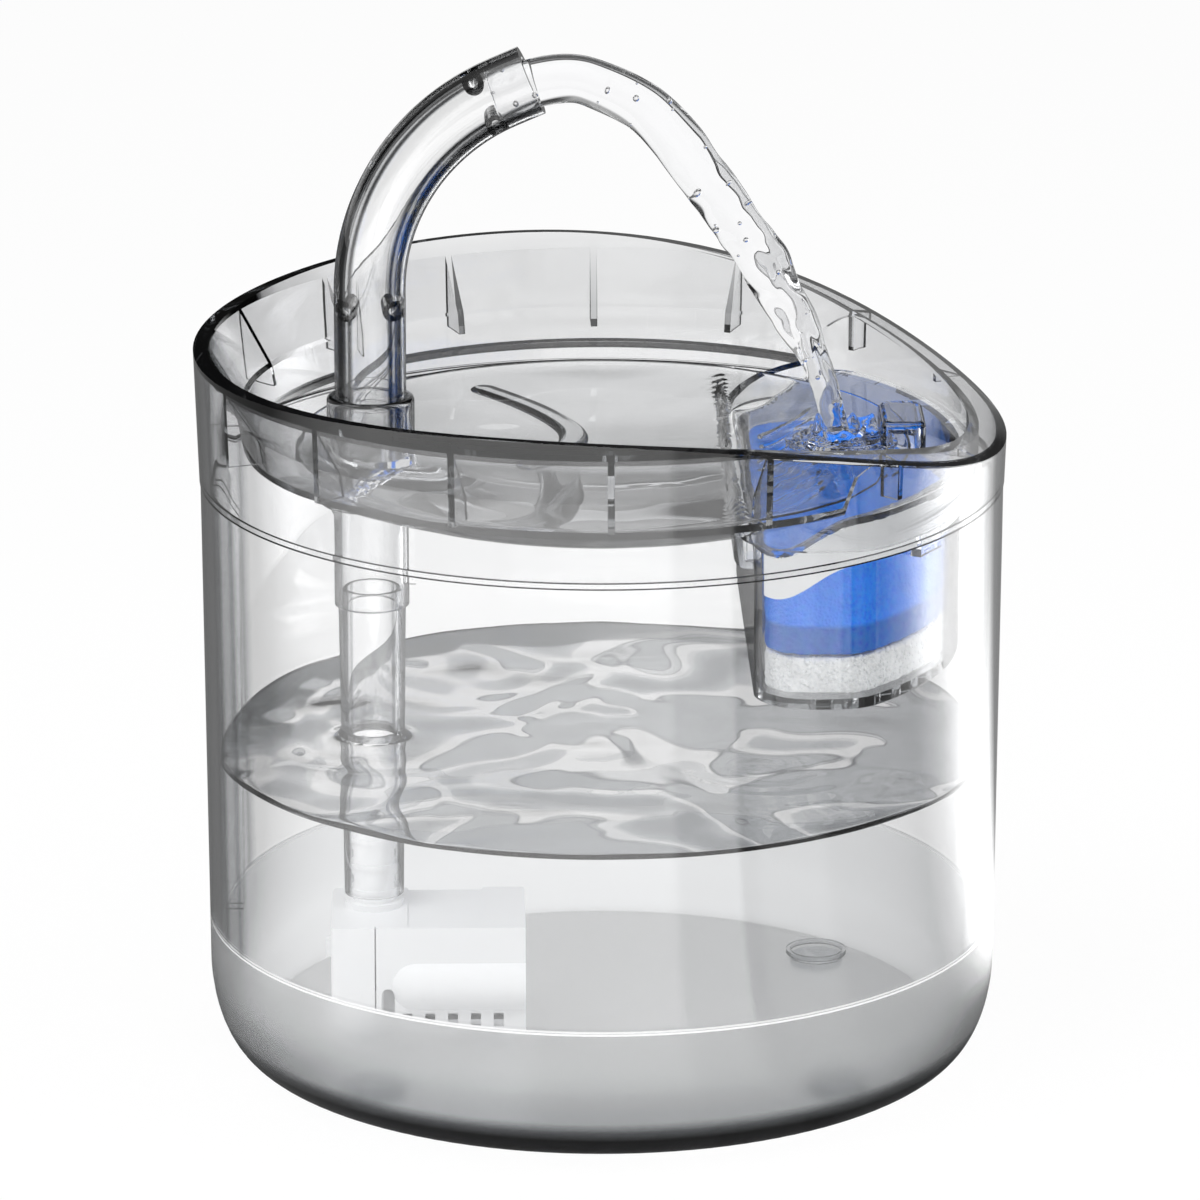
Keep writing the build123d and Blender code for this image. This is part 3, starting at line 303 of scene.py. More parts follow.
# water: as clear as the plastic with a softer painted dark edge
waterLook = {"tone": [(0.0, "FCFCFD"), (0.72, "F8F9F9"), (0.90, "C0C3C6"), (1.0, "404346")],
             "roughness": 0.0, "ior": 1.333, "shadowTint": 0.98}
water = clearMaterial("stillWater", waterLook)

# water that falls and carries air, which lowers its index, with its own painted dark edge
fallingLook = dict(waterLook, ior=1.22, tone=[(0.0, "FCFCFD"), (0.80, "F8F9F9"), (0.94, "CFD1D4"), (1.0, "707376")])
airyWater = clearMaterial("airyWater", fallingLook)

# water that the pump stirs, in painted light: white where a wave faces the eye, grey on the flat and darker behind a
# crest
stirredLook = dict(
    waterLook,
    tone=[(0.0, "FEFEFE"), (0.58, "FAFAFA"), (0.71, "F6F6F7"), (0.80, "E4E5E6"), (0.90, "C4C6C8"), (1.0, "909294")],
    leafSize=42 * mm, leafDetail=1.3, leafBend=1.2,
    leafPaintedLight=[(0.0, "C2C4C6"), (0.43, "CFD1D3"), (0.468, "CCCED0"), (0.476, "85878A"), (0.484, "FFFFFF"),
              (0.548, "FFFFFF"), (0.562, "DCDDDF"), (0.61, "CED0D2"), (0.67, "BCBEC0"), (1.0, "B2B4B6")],
    # the painted dark reflection along the far wall: its inner edge, and where it fades in to the back and out to the
    # right
    farFrom=72 * mm, farBlur=1.5 * mm, farJog=6 * mm, farPaintedDark="8C8E90",
    farBack=(-6 * mm, 12 * mm), farSide=(-10 * mm, 45 * mm), farRight=0.3)
stirredWater = clearMaterial("stirredWater", stirredLook)

# a bubble: air inside water, so its index is the inverse; its rim is painted dark
bubbleLook = {"tone": [(0.0, 1.0), (1.0, "202224")], "roughness": 0.0, "ior": 0.75, "shadowTint": 1}
bubbleAir = clearMaterial("airInWater", bubbleLook)

# the tank: the same plastic, with its lower band blasted matt in the mould and a painted highlight line where the matt
# starts
tankLook = {
    "frostTop": 32.7 * mm, "frostBlur": 0.05 * mm, "frost": "EEEFF0", "frostRoughness": 0.22, "frostThrough": 0.97,
    "paintedLineWidth": 0.45 * mm, "paintedLineThrough": 0.1, "shadowTint": 0.98,
    # the upright wall seen along its curve: painted reflections as bright and dark bars, one for each face of the wall,
    # fainter at the right
    "paintedBars": [(0.0, "FEFEFE"), (0.575, "FBFBFB"), (0.592, "FFFFFF"), (0.612, "E2E3E4"), (0.640, "8E9092"),
             (0.662, "D4D5D7"), (0.700, "E4E5E6"), (0.728, "86888A"), (0.750, "C2C3C5"), (0.82, "B4B6B8"),
             (0.90, "6A6C6E"), (0.96, "2A2B2D"), (1.0, "101112")],
    "barsLeft": 1.0, "barsRight": 0.35, "barsReach": 60 * mm,
    # the rounded lower corner, painted black towards its foot as a dark reflection, from its foot up, outside the
    # radius cornerFrom, on faces that look outwards
    "paintedCornerDark": [(0.0, "050506"), (0.16, "0A0A0B"), (0.23, "6E7072"), (0.31, "DCDDDE"), (0.6, "F2F3F3"),
                   (1.0, "F8F8F8")],
    "cornerFoot": 2 * mm, "cornerFrom": 76.0 * mm, "cornerBlur": 1 * mm, "cornerOutward": 12 * mm}
tankPlastic, tree = startMaterial("clearStyreneFrostedBase")
spot, flat, away = spotOnPiece(tree)
frost = addNode(tree, "ShaderNodeMapRange", {0: spot.outputs["Z"], 1: tankLook["frostTop"] + tankLook["frostBlur"],
                                             2: tankLook["frostTop"] - tankLook["frostBlur"]})
# painted highlight: a thin opaque white line where the matt starts
paintedLine = addNode(tree, "ShaderNodeMath", {0: spot.outputs["Z"], 1: tankLook["frostTop"]}, operation="SUBTRACT")
paintedLine = addNode(tree, "ShaderNodeMath", {0: paintedLine}, operation="ABSOLUTE")
paintedLine = addNode(tree, "ShaderNodeMath", {0: paintedLine, 1: tankLook["paintedLineWidth"] / 2}, operation="LESS_THAN")
facing = addNode(tree, "ShaderNodeLayerWeight").outputs["Facing"]
paintedEdgeTone = addNode(tree, "ShaderNodeValToRGB", {0: facing}, clearLook["tone"])
# painted reflections: bars by how edge on the wall is seen, stronger at the left
paintedBars = addNode(tree, "ShaderNodeValToRGB", {0: facing}, tankLook["paintedBars"])
side = addNode(tree, "ShaderNodeMapRange", {0: spot.outputs["X"], 1: -tankLook["barsReach"], 2: tankLook["barsReach"],
                                            3: tankLook["barsLeft"], 4: tankLook["barsRight"]})
paintedEdgeTone = addNode(tree, "ShaderNodeMix", {0: side, 6: paintedEdgeTone, 7: paintedBars}, data_type="RGBA")
lowPlace = addNode(tree, "ShaderNodeMapRange", {0: spot.outputs["Z"], 1: tankLook["cornerFoot"],
                                                2: tankLook["frostTop"]})
# painted reflection: the lower corner goes black towards its foot
paintedCornerDark = addNode(tree, "ShaderNodeValToRGB", {0: lowPlace}, tankLook["paintedCornerDark"])
outer = addNode(tree, "ShaderNodeMapRange", {0: away, 1: tankLook["cornerFrom"] - tankLook["cornerBlur"],
                                             2: tankLook["cornerFrom"] + tankLook["cornerBlur"]})
normal = addNode(tree, "ShaderNodeNewGeometry").outputs["Normal"]
outward = addNode(tree, "ShaderNodeVectorMath", {0: flat, 1: normal}, operation="DOT_PRODUCT")
outward = addNode(tree, "ShaderNodeMath", {0: outward.outputs["Value"], 1: tankLook["cornerOutward"]},
                  operation="GREATER_THAN")
outer = addNode(tree, "ShaderNodeMath", {0: outer, 1: outward}, operation="MULTIPLY")
frostAndPaintedCorner = addNode(tree, "ShaderNodeMix", {0: outer, 6: linearColour(tankLook["frost"]),
                                            7: paintedCornerDark}, data_type="RGBA")
tone = addNode(tree, "ShaderNodeMix", {0: frost, 6: paintedEdgeTone.outputs[2], 7: frostAndPaintedCorner.outputs[2]}, data_type="RGBA")
tone = addNode(tree, "ShaderNodeMix", {0: paintedLine, 6: tone.outputs[2], 7: white}, data_type="RGBA")
gloss = addNode(tree, "ShaderNodeMapRange", {0: frost, 3: clearLook["roughness"], 4: tankLook["frostRoughness"]})
sheer = addNode(tree, "ShaderNodeMapRange", {0: frost, 3: 1.0, 4: tankLook["frostThrough"]})
sheer = addNode(tree, "ShaderNodeMix", {0: paintedLine, 2: sheer, 3: tankLook["paintedLineThrough"]}, data_type="FLOAT")
body = addNode(tree, "ShaderNodeBsdfPrincipled", {"Base Color": tone.outputs[2], "Roughness": gloss,
                                                  "IOR": clearLook["ior"], "Transmission Weight": sheer})
finishClear(tree, body, tankLook["shadowTint"], clearLook["density"])

# the filter cup: clear with painted shade at its edges; its clear lip moulded round its waved edge is painted as a
# satin white band, a painted highlight, outside the cup's core outline
cupLook = {"tone": [(0.0, "FEFEFE"), (0.60, "FAFAFB"), (0.68, "B8BABC"), (0.74, "303234"), (0.82, "08080A"),
                    (1.0, "040405")],
           "coreRadius": 67.6 * mm, "coreLeft": 43.9 * mm, "coreHalf": 46.0 * mm,
           "bandFrom": 12.12 * mm, "band": "F4F5F6", "bandRoughness": 0.3, "shadowTint": 0.99, "density": 70.0}
cupPlastic, tree = startMaterial("clearStyrenePaintedBand")
spot, flat, away = spotOnPiece(tree)
beyondArc = addNode(tree, "ShaderNodeMath", {0: away, 1: cupLook["coreRadius"]}, operation="SUBTRACT")
leftOf = addNode(tree, "ShaderNodeMath", {0: cupLook["coreLeft"], 1: spot.outputs["X"]}, operation="SUBTRACT")
leftOf = addNode(tree, "ShaderNodeMath", {0: leftOf, 1: 0.0}, operation="MAXIMUM")
sideways = addNode(tree, "ShaderNodeMath", {0: spot.outputs["Y"]}, operation="ABSOLUTE")
sideways = addNode(tree, "ShaderNodeMath", {0: sideways, 1: cupLook["coreHalf"]}, operation="SUBTRACT")
sideways = addNode(tree, "ShaderNodeMath", {0: sideways, 1: 0.0}, operation="MAXIMUM")
corner = addNode(tree, "ShaderNodeCombineXYZ", {0: leftOf, 1: sideways})
corner = addNode(tree, "ShaderNodeVectorMath", {0: corner}, operation="LENGTH")
beyond = addNode(tree, "ShaderNodeMath", {0: beyondArc, 1: corner.outputs["Value"]}, operation="MAXIMUM")
# painted highlight: outside the core outline the clear lip is made opaque satin white
band = addNode(tree, "ShaderNodeMath", {0: beyond, 1: cupLook["bandFrom"]}, operation="GREATER_THAN")
facing = addNode(tree, "ShaderNodeLayerWeight").outputs["Facing"]
paintedEdgeTone = addNode(tree, "ShaderNodeValToRGB", {0: facing}, cupLook["tone"])
tone = addNode(tree, "ShaderNodeMix", {0: band, 6: paintedEdgeTone, 7: linearColour(cupLook["band"])}, data_type="RGBA")
gloss = addNode(tree, "ShaderNodeMapRange", {0: band, 3: clearLook["roughness"], 4: cupLook["bandRoughness"]})
sheer = addNode(tree, "ShaderNodeMapRange", {0: band, 3: 1.0, 4: 0.0})
body = addNode(tree, "ShaderNodeBsdfPrincipled", {"Base Color": tone.outputs[2], "Roughness": gloss,
                                                  "IOR": clearLook["ior"], "Transmission Weight": sheer})
finishClear(tree, body, cupLook["shadowTint"], cupLook["density"])

# what opaque finishes share: how far the gloss wanders with the grain, and how deep the grain is
grainLook = {"glossSpread": 0.05, "bump": 0.15, "depth": 0.5, "detail": 4.0, "roughness": 0.6}


def grainMaterial(name, look):
    # an opaque finish with a fine grain in its colour, gloss and surface
    material, tree = startMaterial(name)
    where = addNode(tree, "ShaderNodeTexCoord").outputs["Object"]
    grain = addNode(tree, "ShaderNodeTexNoise", {"Vector": where, "Scale": 1 / look["grain"],
                                                 "Detail": grainLook["detail"], "Roughness": grainLook["roughness"]})
    grain = grain.outputs["Fac"]
    tone = addNode(tree, "ShaderNodeValToRGB", {0: grain}, [(noiseLow, look["low"]), (noiseHigh, look["high"])])
    gloss = addNode(tree, "ShaderNodeMapRange", {0: grain, 1: noiseLow, 2: noiseHigh,
                                                 3: look["roughness"] - grainLook["glossSpread"],
                                                 4: look["roughness"] + grainLook["glossSpread"]})
    bump = addNode(tree, "ShaderNodeBump", {"Height": grain, "Strength": grainLook["bump"],
                                            "Distance": look["grain"] * grainLook["depth"]})
    inputs = {"Base Color": tone, "Roughness": gloss, "Normal": bump, "Metallic": look.get("metallic", 0.0)}
    if "ior" in look:
        inputs["IOR"] = look["ior"]
    body = addNode(tree, "ShaderNodeBsdfPrincipled", inputs)
    addNode(tree, "ShaderNodeOutputMaterial", {0: body})
    return material


# ABS, moulded with a satin face: an even white with soft highlights
whiteAbs = grainMaterial("whiteAbsSatin", {
    "low": "ECEDEE", "high": "F3F4F5", "grain": 0.4 * mm, "roughness": 0.42, "ior": 1.54})
# silicone, moulded: a milky, dull grey
silicone = grainMaterial("siliconeFeet", {
    "low": "D8DADC", "high": "E4E6E8", "grain": 0.5 * mm, "roughness": 0.5, "ior": 1.41})
# acetal, turned: waxy and a little yellow
bushPlastic = grainMaterial("acetalBush", {
    "low": "B8AE96", "high": "C6BCA6", "grain": 0.3 * mm, "roughness": 0.4, "ior": 1.48})
# alumina, fired and ground: off-white with a hard gloss
ceramic = grainMaterial("groundAlumina", {
    "low": "E4E1DA", "high": "EEEBE4", "grain": 0.15 * mm, "roughness": 0.2, "ior": 1.76})
# ferrite, pressed and sintered: charcoal and dull
ferrite = grainMaterial("sinteredFerrite", {"low": "2C2C2E", "high": "3A3A3D", "grain": 0.3 * mm, "roughness": 0.55})
# silicon steel, stamped and stacked: a plain grey metal
steel = grainMaterial("laminatedSteel", {
    "low": "A0A2A5", "high": "B6B8BB", "grain": 0.35 * mm, "roughness": 0.35, "metallic": 1.0})
# copper wire, enamelled and wound: a warm metal with a light gloss
copper = grainMaterial("enamelledCopper", {
    "low": "B4622E", "high": "CC7A40", "grain": 0.3 * mm, "roughness": 0.3, "metallic": 1.0})
# glass-epoxy board under green solder resist: glossy over a fine weave
board = grainMaterial("glassEpoxyBoard", {
    "low": "1F5A36", "high": "286B42", "grain": 0.4 * mm, "roughness": 0.35, "ior": 1.5})
# epoxy, poured: black and glossy with slow unevenness
epoxy = grainMaterial("pottingEpoxy", {
    "low": "1B1C1E", "high": "242527", "grain": 2 * mm, "roughness": 0.25, "ior": 1.55})
# rubber, moulded: black and dull
rubber = grainMaterial("blackRubber", {
    "low": "1E1E20", "high": "28282A", "grain": 0.4 * mm, "roughness": 0.6, "ior": 1.52})

finishes = [
    (tankPlastic, ["tank"]), (trayPlastic, ["drinking_tray"]), (tubePlastic, ["faucet_front_half", "faucet_rear_half"]),
    (clearPlastic, ["flow_ring", "filter_cover"]), (riserPlastic, ["riser_tube"]), (cupPlastic, ["filter_cup"]),
    (silicone, ["tank_feet", "suction_cups"]),
    (whiteAbs, ["pump_housing", "pump_end_cap", "outlet_nozzle", "strainer_cover", "intake_cover", "flow_adjuster",
                "volute_plate", "impeller"]),
    (bushPlastic, ["shaft_bush_front", "shaft_bush_rear"]), (ceramic, ["rotor_shaft"]), (ferrite, ["rotor_magnet"]),
    (steel, ["stator_core"]), (copper, ["stator_coils"]), (board, ["driver_board"]), (epoxy, ["potting_seal"]),
    (rubber, ["cable_gland"])]
for material, names in finishes:
    for name in names:
        nodes[name].data.materials.clear()
        nodes[name].data.materials.append(material)
print("materials ready")


def meshObject(name, vertices, faces, material):
    mesh = bpy.data.meshes.new(name)
    mesh.from_pydata(vertices, [], faces)
    mesh.materials.append(material)
    mesh.polygons.foreach_set("use_smooth", [True] * len(mesh.polygons))
    thing = bpy.data.objects.new(name, mesh)
    scene.collection.objects.link(thing)
    return thing


def discOfWater(name, size, top, bottom, material):
    # a closed disc of water: top(x, y) and bottom(x, y) are its two faces, in mm
    steps, rings = size["steps"], size["rings"]
    cx, cy = size.get("centre", (0, 0))
    vertices, faces = [], []
    for face in (top, bottom):
        vertices.append((cx * mm, cy * mm, face(cx, cy) * mm))
        for ring in range(1, rings + 1):
            for k in range(steps):
                angle = 2 * math.pi * k / steps
                x = cx + size["radius"] * ring / rings * math.cos(angle)
                y = cy + size["radius"] * ring / rings * math.sin(angle)
                vertices.append((x * mm, y * mm, face(x, y) * mm))
    count = 1 + rings * steps
    for side in (0, 1):
        base = side * count
        for k in range(steps):
            a, b = base + 1 + k, base + 1 + (k + 1) % steps
            faces.append((base, a, b) if side == 0 else (base, b, a))
            for ring in range(rings - 1):
                c, d = a + ring * steps, b + ring * steps
                quad = (c, c + steps, d + steps, d)
                faces.append(quad if side == 0 else quad[::-1])
    edge = 1 + (rings - 1) * steps
    for k in range(steps):
        a, b = edge + k, edge + (k + 1) % steps
        faces.append((a, count + a, count + b, b))
    return meshObject(name, vertices, faces, material)


def applyModifiers(thing):
    # what the modifiers make becomes the object's own mesh
    mesh = bpy.data.meshes.new_from_object(thing.evaluated_get(bpy.context.evaluated_depsgraph_get()))
    thing.modifiers.clear()
    thing.data = mesh
    mesh.name = thing.name


def cutRound(piece, x, y, radius):
    # takes an upright round hole out of a piece, where a tube passes through it
    heights = [v.co.z for v in piece.data.vertices]
    mesh = bpy.data.meshes.new("cutter")
    work = bmesh.new()
    bmesh.ops.create_cone(work, cap_ends=True, segments=64, radius1=radius * mm, radius2=radius * mm,
                          depth=max(heights) - min(heights) + 10 * mm)
    bmesh.ops.translate(work, verts=work.verts, vec=(x * mm, y * mm, (max(heights) + min(heights)) / 2))
    work.to_mesh(mesh)
    work.free()
    cutter = bpy.data.objects.new("cutter", mesh)
    scene.collection.objects.link(cutter)
    hole = piece.modifiers.new("hole", "BOOLEAN")
    hole.object = cutter
    hole.solver = "EXACT"
    applyModifiers(piece)
    bpy.data.objects.remove(cutter)


# the water in the tank, stirred by the pump and by the drips under the filter; mm
tankWater = {"level": 72.8, "radius": 85.5, "skin": 0.7, "thinnest": 0.35, "underFollows": 0.25,
             "rings": 100, "steps": 260, "riser": (-51.3, 0.0, 6.85),
             # rings of ripples: centre x, y, height, wavelength and reach
             "ripples": [(-51.3, 0.0, 0.55, 15.0, 18.0), (-2.0, -2.0, 0.22, 17.0, 30.0),
                         (34.0, -24.0, 0.16, 7.5, 14.0), (-84.0, -12.0, 0.5, 9.0, 10.0)],
             # swells: centre x, y, length, width, turn in degrees, height; and how they bow along their length
             "swells": [(-30.0, -48.0, 30.0, 10.0, 14.0, 0.9), (-24.0, -66.0, 22.0, 7.0, 20.0, -0.5),
                        (-62.0, -28.0, 18.0, 8.0, -28.0, 0.8), (-62.0, 30.0, 24.0, 8.0, 30.0, 0.8),
                        (-36.0, 54.0, 28.0, 8.0, 12.0, 0.7), (12.0, 52.0, 32.0, 8.0, -4.0, 0.5),
                        (8.0, 34.0, 26.0, 8.0, -6.0, 0.3), (60.0, 20.0, 26.0, 9.0, 60.0, 0.6),
                        (30.0, -72.0, 40.0, 8.0, 4.0, 0.5)], "swellBow": 0.012,
             # chop all over: height, size in x, size in y, and which slice of the noise
             "chop": [(0.9, 34, 28, 3.1), (0.16, 12, 9, 7.7)],
             # how high the water climbs the riser and the wall, and how far out
             "riserClimb": (3.0, 2.8), "wallClimb": (0.3, 1.2)}


def tankLevel(x, y):
    rise = 0.0
    for cx, cy, high, wave, reach in tankWater["ripples"]:
        away = math.hypot(x - cx, y - cy)
        rise += high * math.cos(2 * math.pi * away / wave) * math.exp(-away / reach)
    for cx, cy, length, width, turned, high in tankWater["swells"]:
        turned = math.radians(turned)
        along = (x - cx) * math.cos(turned) + (y - cy) * math.sin(turned)
        across = -(x - cx) * math.sin(turned) + (y - cy) * math.cos(turned) + tankWater["swellBow"] * along * along
        rise += high * math.exp(-(along / length) ** 2 - (across / width) ** 2)
    rise += sum(high * noise.noise(Vector((x / wide, y / deep, part))) for high, wide, deep, part in tankWater["chop"])
    riserX, riserY, riserRadius = tankWater["riser"]
    high, reach = tankWater["riserClimb"]
    rise += high * math.exp(-max(math.hypot(x - riserX, y - riserY) - riserRadius, 0) / reach)
    high, reach = tankWater["wallClimb"]
    rise += high * math.exp(-(tankWater["radius"] - math.hypot(x, y)) / reach)
    return tankWater["level"] + rise


def tankUnder(x, y):
    top, level = tankLevel(x, y), tankWater["level"]
    return min(level - tankWater["skin"] + tankWater["underFollows"] * (top - level), top - tankWater["thinnest"])


waterSurface = discOfWater("waterSurface", tankWater, tankLevel, tankUnder, stirredWater)
cutRound(waterSurface, *tankWater["riser"])
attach(waterSurface, "base")

# water that stands in the drinking dish up to the filter, thin over the filter's lid; mm
dishPool = {"level": 140.4, "radius": 68.5, "bowlRadius": 190.3, "bowlBottom": 127.1, "gap": 0.25, "thinnest": 0.3,
            "rings": 90, "steps": 220, "socket": (-51.3, 0.0, 9.95), "lidFrom": 27.5, "lidFilm": 0.45,
            # ripples round the landing: height, wavelength and reach
            "landing": (52.0, -0.3), "ripple": (0.55, 12, 14),
            # chop: height, size in x, size in y, and which slice of the noise; and the climb at the edge
            "chop": (0.30, 26, 20, 1.3), "edgeClimb": (0.7, 1.4)}


def poolTop(x, y):
    away = math.hypot(x - dishPool["landing"][0], y - dishPool["landing"][1])
    high, wave, reach = dishPool["ripple"]
    chopHigh, wide, deep, part = dishPool["chop"]
    rise = (high * math.cos(2 * math.pi * away / wave) * math.exp(-away / reach)
            + chopHigh * noise.noise(Vector((x / wide, y / deep, part))))
    high, reach = dishPool["edgeClimb"]
    rise += high * math.exp(-(dishPool["radius"] - math.hypot(x, y)) / reach)
    return dishPool["level"] + rise


def poolBottom(x, y):
    r, bowlRadius = math.hypot(x, y), dishPool["bowlRadius"]
    bowl = dishPool["bowlBottom"] + dishPool["gap"] + bowlRadius - math.sqrt(bowlRadius ** 2 - r * r)
    if x > dishPool["lidFrom"]:
        bowl = poolTop(x, y) - dishPool["lidFilm"]
    return min(bowl, poolTop(x, y) - dishPool["thinnest"])


pool = discOfWater("dishPool", dishPool, poolTop, poolBottom, water)
cutRound(pool, *dishPool["socket"])
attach(pool, "tray")
print("still water made")

# the falling water, from the faucet's mouth to the filter's lid: x, z and thickness, mm
streamPath = {"points": [(-24.0, 220.4, 10.4), (-15.5, 223.0, 10.9), (-6.5, 223.9, 10.8), (0.0, 222.2, 10.8),
                         (9.2, 217.2, 11.0), (16.3, 210.0, 11.6), (21.0, 203.3, 12.0), (26.2, 196.6, 11.8),
                         (30.2, 190.6, 10.8), (34.2, 184.2, 10.2), (38.0, 177.2, 9.4), (42.0, 171.2, 8.2),
                         (45.4, 164.0, 7.4), (48.4, 156.6, 6.8), (50.6, 149.2, 6.4), (52.2, 141.3, 7.4)],
              "rings": 260, "steps": 40, "y": -0.3, "lookAhead": 0.004,
              # it leaves the mouth calm and turns wild over this part of its way
              "calmTo": 0.30, "wildOver": 0.4,
              # two and three lobes that twist opposite ways, as shares of its thickness
              "twoLobes": 0.18, "threeLobes": 0.08, "twist": 7.0, "threeTwist": 1.3,
              # roughness: its share, then the size of its slow and its quick part, calm and wild
              "ripple": 0.12, "rippleGain": 1.6, "slowCalm": 0.35, "slowWild": 0.9, "slowRound": 1.1, "slowAlong": 11,
              "quickWild": 0.45, "quickRound": 1.6, "quickAlong": 34}


def smoothPoint(points, t):
    # a Catmull-Rom curve through the points
    count = len(points) - 1
    place = min(max(t, 0.0), 1.0) * count
    k = min(int(place), count - 1)
    f = place - k
    p = [Vector(points[min(max(k + j, 0), count)]) for j in (-1, 0, 1, 2)]
    return 0.5 * (2 * p[1] + (p[2] - p[0]) * f + (2 * p[0] - 5 * p[1] + 4 * p[2] - p[3]) * f * f
                  + (3 * p[1] - p[0] - 3 * p[2] + p[3]) * f ** 3)


def fallingWater():
    look, steps = streamPath, streamPath["steps"]
    vertices, faces = [], []
    for ring in range(look["rings"] + 1):
        t = ring / look["rings"]
        here, ahead, back = (smoothPoint(look["points"], t + d) for d in (0, look["lookAhead"], -look["lookAhead"]))
        run = Vector((ahead[0] - back[0], 0, ahead[1] - back[1])).normalized()
        side = Vector((0, 1, 0))
        up = side.cross(run)
        wild = min(max((t - look["calmTo"]) / look["wildOver"], 0.0), 1.0)
        slowShare = look["slowCalm"] + look["slowWild"] * wild
        for k in range(steps):
            angle = 2 * math.pi * k / steps
            x, y = math.cos(angle), math.sin(angle)
            lobe = (look["twoLobes"] * wild * math.cos(2 * (angle - look["twist"] * t))
                    + look["threeLobes"] * wild * math.cos(3 * (angle + look["twist"] * look["threeTwist"] * t)))
            slow = noise.noise(Vector((x * look["slowRound"], y * look["slowRound"], t * look["slowAlong"])))
            quick = noise.noise(Vector((x * look["quickRound"], y * look["quickRound"], t * look["quickAlong"])))
            rough = look["ripple"] * (slowShare * slow + look["quickWild"] * wild * quick)
            thick = here[2] / 2 * (1 + lobe + look["rippleGain"] * rough)
            vertices.append((Vector((here[0], look["y"], here[1])) + (side * x + up * y) * thick) * mm)
    for ring in range(look["rings"]):
        for k in range(steps):
            a, b = ring * steps + k, ring * steps + (k + 1) % steps
            faces.append((a, a + steps, b + steps, b))
    for ring, flip in ((0, True), (look["rings"], False)):
        points = [ring * steps + k for k in range(steps)]
        middle = len(vertices)
        vertices.append(sum((vertices[p] for p in points), Vector()) / steps)
        for k in range(steps):
            a, b = points[k], points[(k + 1) % steps]
            faces.append((a, b, middle) if flip else (b, a, middle))
    return meshObject("waterStream", vertices, faces, airyWater)


stream = fallingWater()
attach(stream, "faucet")

# the splash where it lands: a low crown with a ragged edge; mm
splashSize = {"centre": (53.2, -0.6), "radius": 12.5, "rings": 40, "steps": 96, "foot": 140.9, "skin": 0.35,
              "under": 0.15,
              # the crown's radius and height: the mean, then each wave round it as size, number and turn
              "crownRadius": 5.6, "radiusWaves": [(0.9, 3, 0.7), (0.5, 5, 0.0)],
              "crownHeight": 4.2, "heightWaves": [(1.6, 2, -0.4), (1.0, 5, 1.1)], "crownWidth": 1.5,
              # a low ring outside it: height, radius and width; and the chop: height, size and slice
              "outerRing": (0.9, 9.8, 1.1), "chop": (0.25, 2.2, 5.5)}


def roundWaves(mean, waves, angle):
    for size, number, turned in waves:
        mean += size * math.cos(number * angle + turned)
    return mean


def splashTop(x, y):
    dx, dy = x - splashSize["centre"][0], y - splashSize["centre"][1]
    away, angle = math.hypot(dx, dy), math.atan2(dy, dx)
    crest = roundWaves(splashSize["crownRadius"], splashSize["radiusWaves"], angle)
    high = roundWaves(splashSize["crownHeight"], splashSize["heightWaves"], angle)
    crown = high * math.exp(-((away - crest) / splashSize["crownWidth"]) ** 2)
    outerHigh, outerRadius, outerWidth = splashSize["outerRing"]
    outer = outerHigh * math.exp(-((away - outerRadius) / outerWidth) ** 2)
    chopHigh, chopSize, part = splashSize["chop"]
    chop = chopHigh * noise.noise(Vector((x / chopSize, y / chopSize, part)))
    return splashSize["foot"] + splashSize["skin"] + crown + outer + chop


splash = discOfWater("splash", splashSize, splashTop, lambda x, y: splashSize["foot"] - splashSize["under"], water)
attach(splash, "filter_lid")
print("moving water made")


def solidCopy(name, node, size, shrink):
    # a closed remeshed copy of a CAD solid, a little smaller all round
    mesh = nodes[node].data.copy()
    work = bmesh.new()
    work.from_mesh(mesh)
    bmesh.ops.remove_doubles(work, verts=work.verts, dist=0.01 * mm)
    work.to_mesh(mesh)
    work.free()
    thing = bpy.data.objects.new(name, mesh)
    scene.collection.objects.link(thing)
    remesh = thing.modifiers.new("remesh", "REMESH")
    remesh.mode = "VOXEL"
    remesh.voxel_size = size
    applyModifiers(thing)
    normals = [v.normal * shrink for v in thing.data.vertices]
    for v, normal in zip(thing.data.vertices, normals):
        v.co -= normal
    return thing


# what the foams share: slow patches of tone, how sharp the step to coarse cells is and how coarse they get
foamLook = {"patch": 9 * mm, "patchDetail": 3.0, "patchLow": 0.9, "patchHigh": 1.08, "stepHalf": 0.6 * mm,
            "coarser": 2.0, "wallAt": 0.42, "bump": 0.6, "depth": 0.5, "roughness": 0.9, "specular": 0.1}


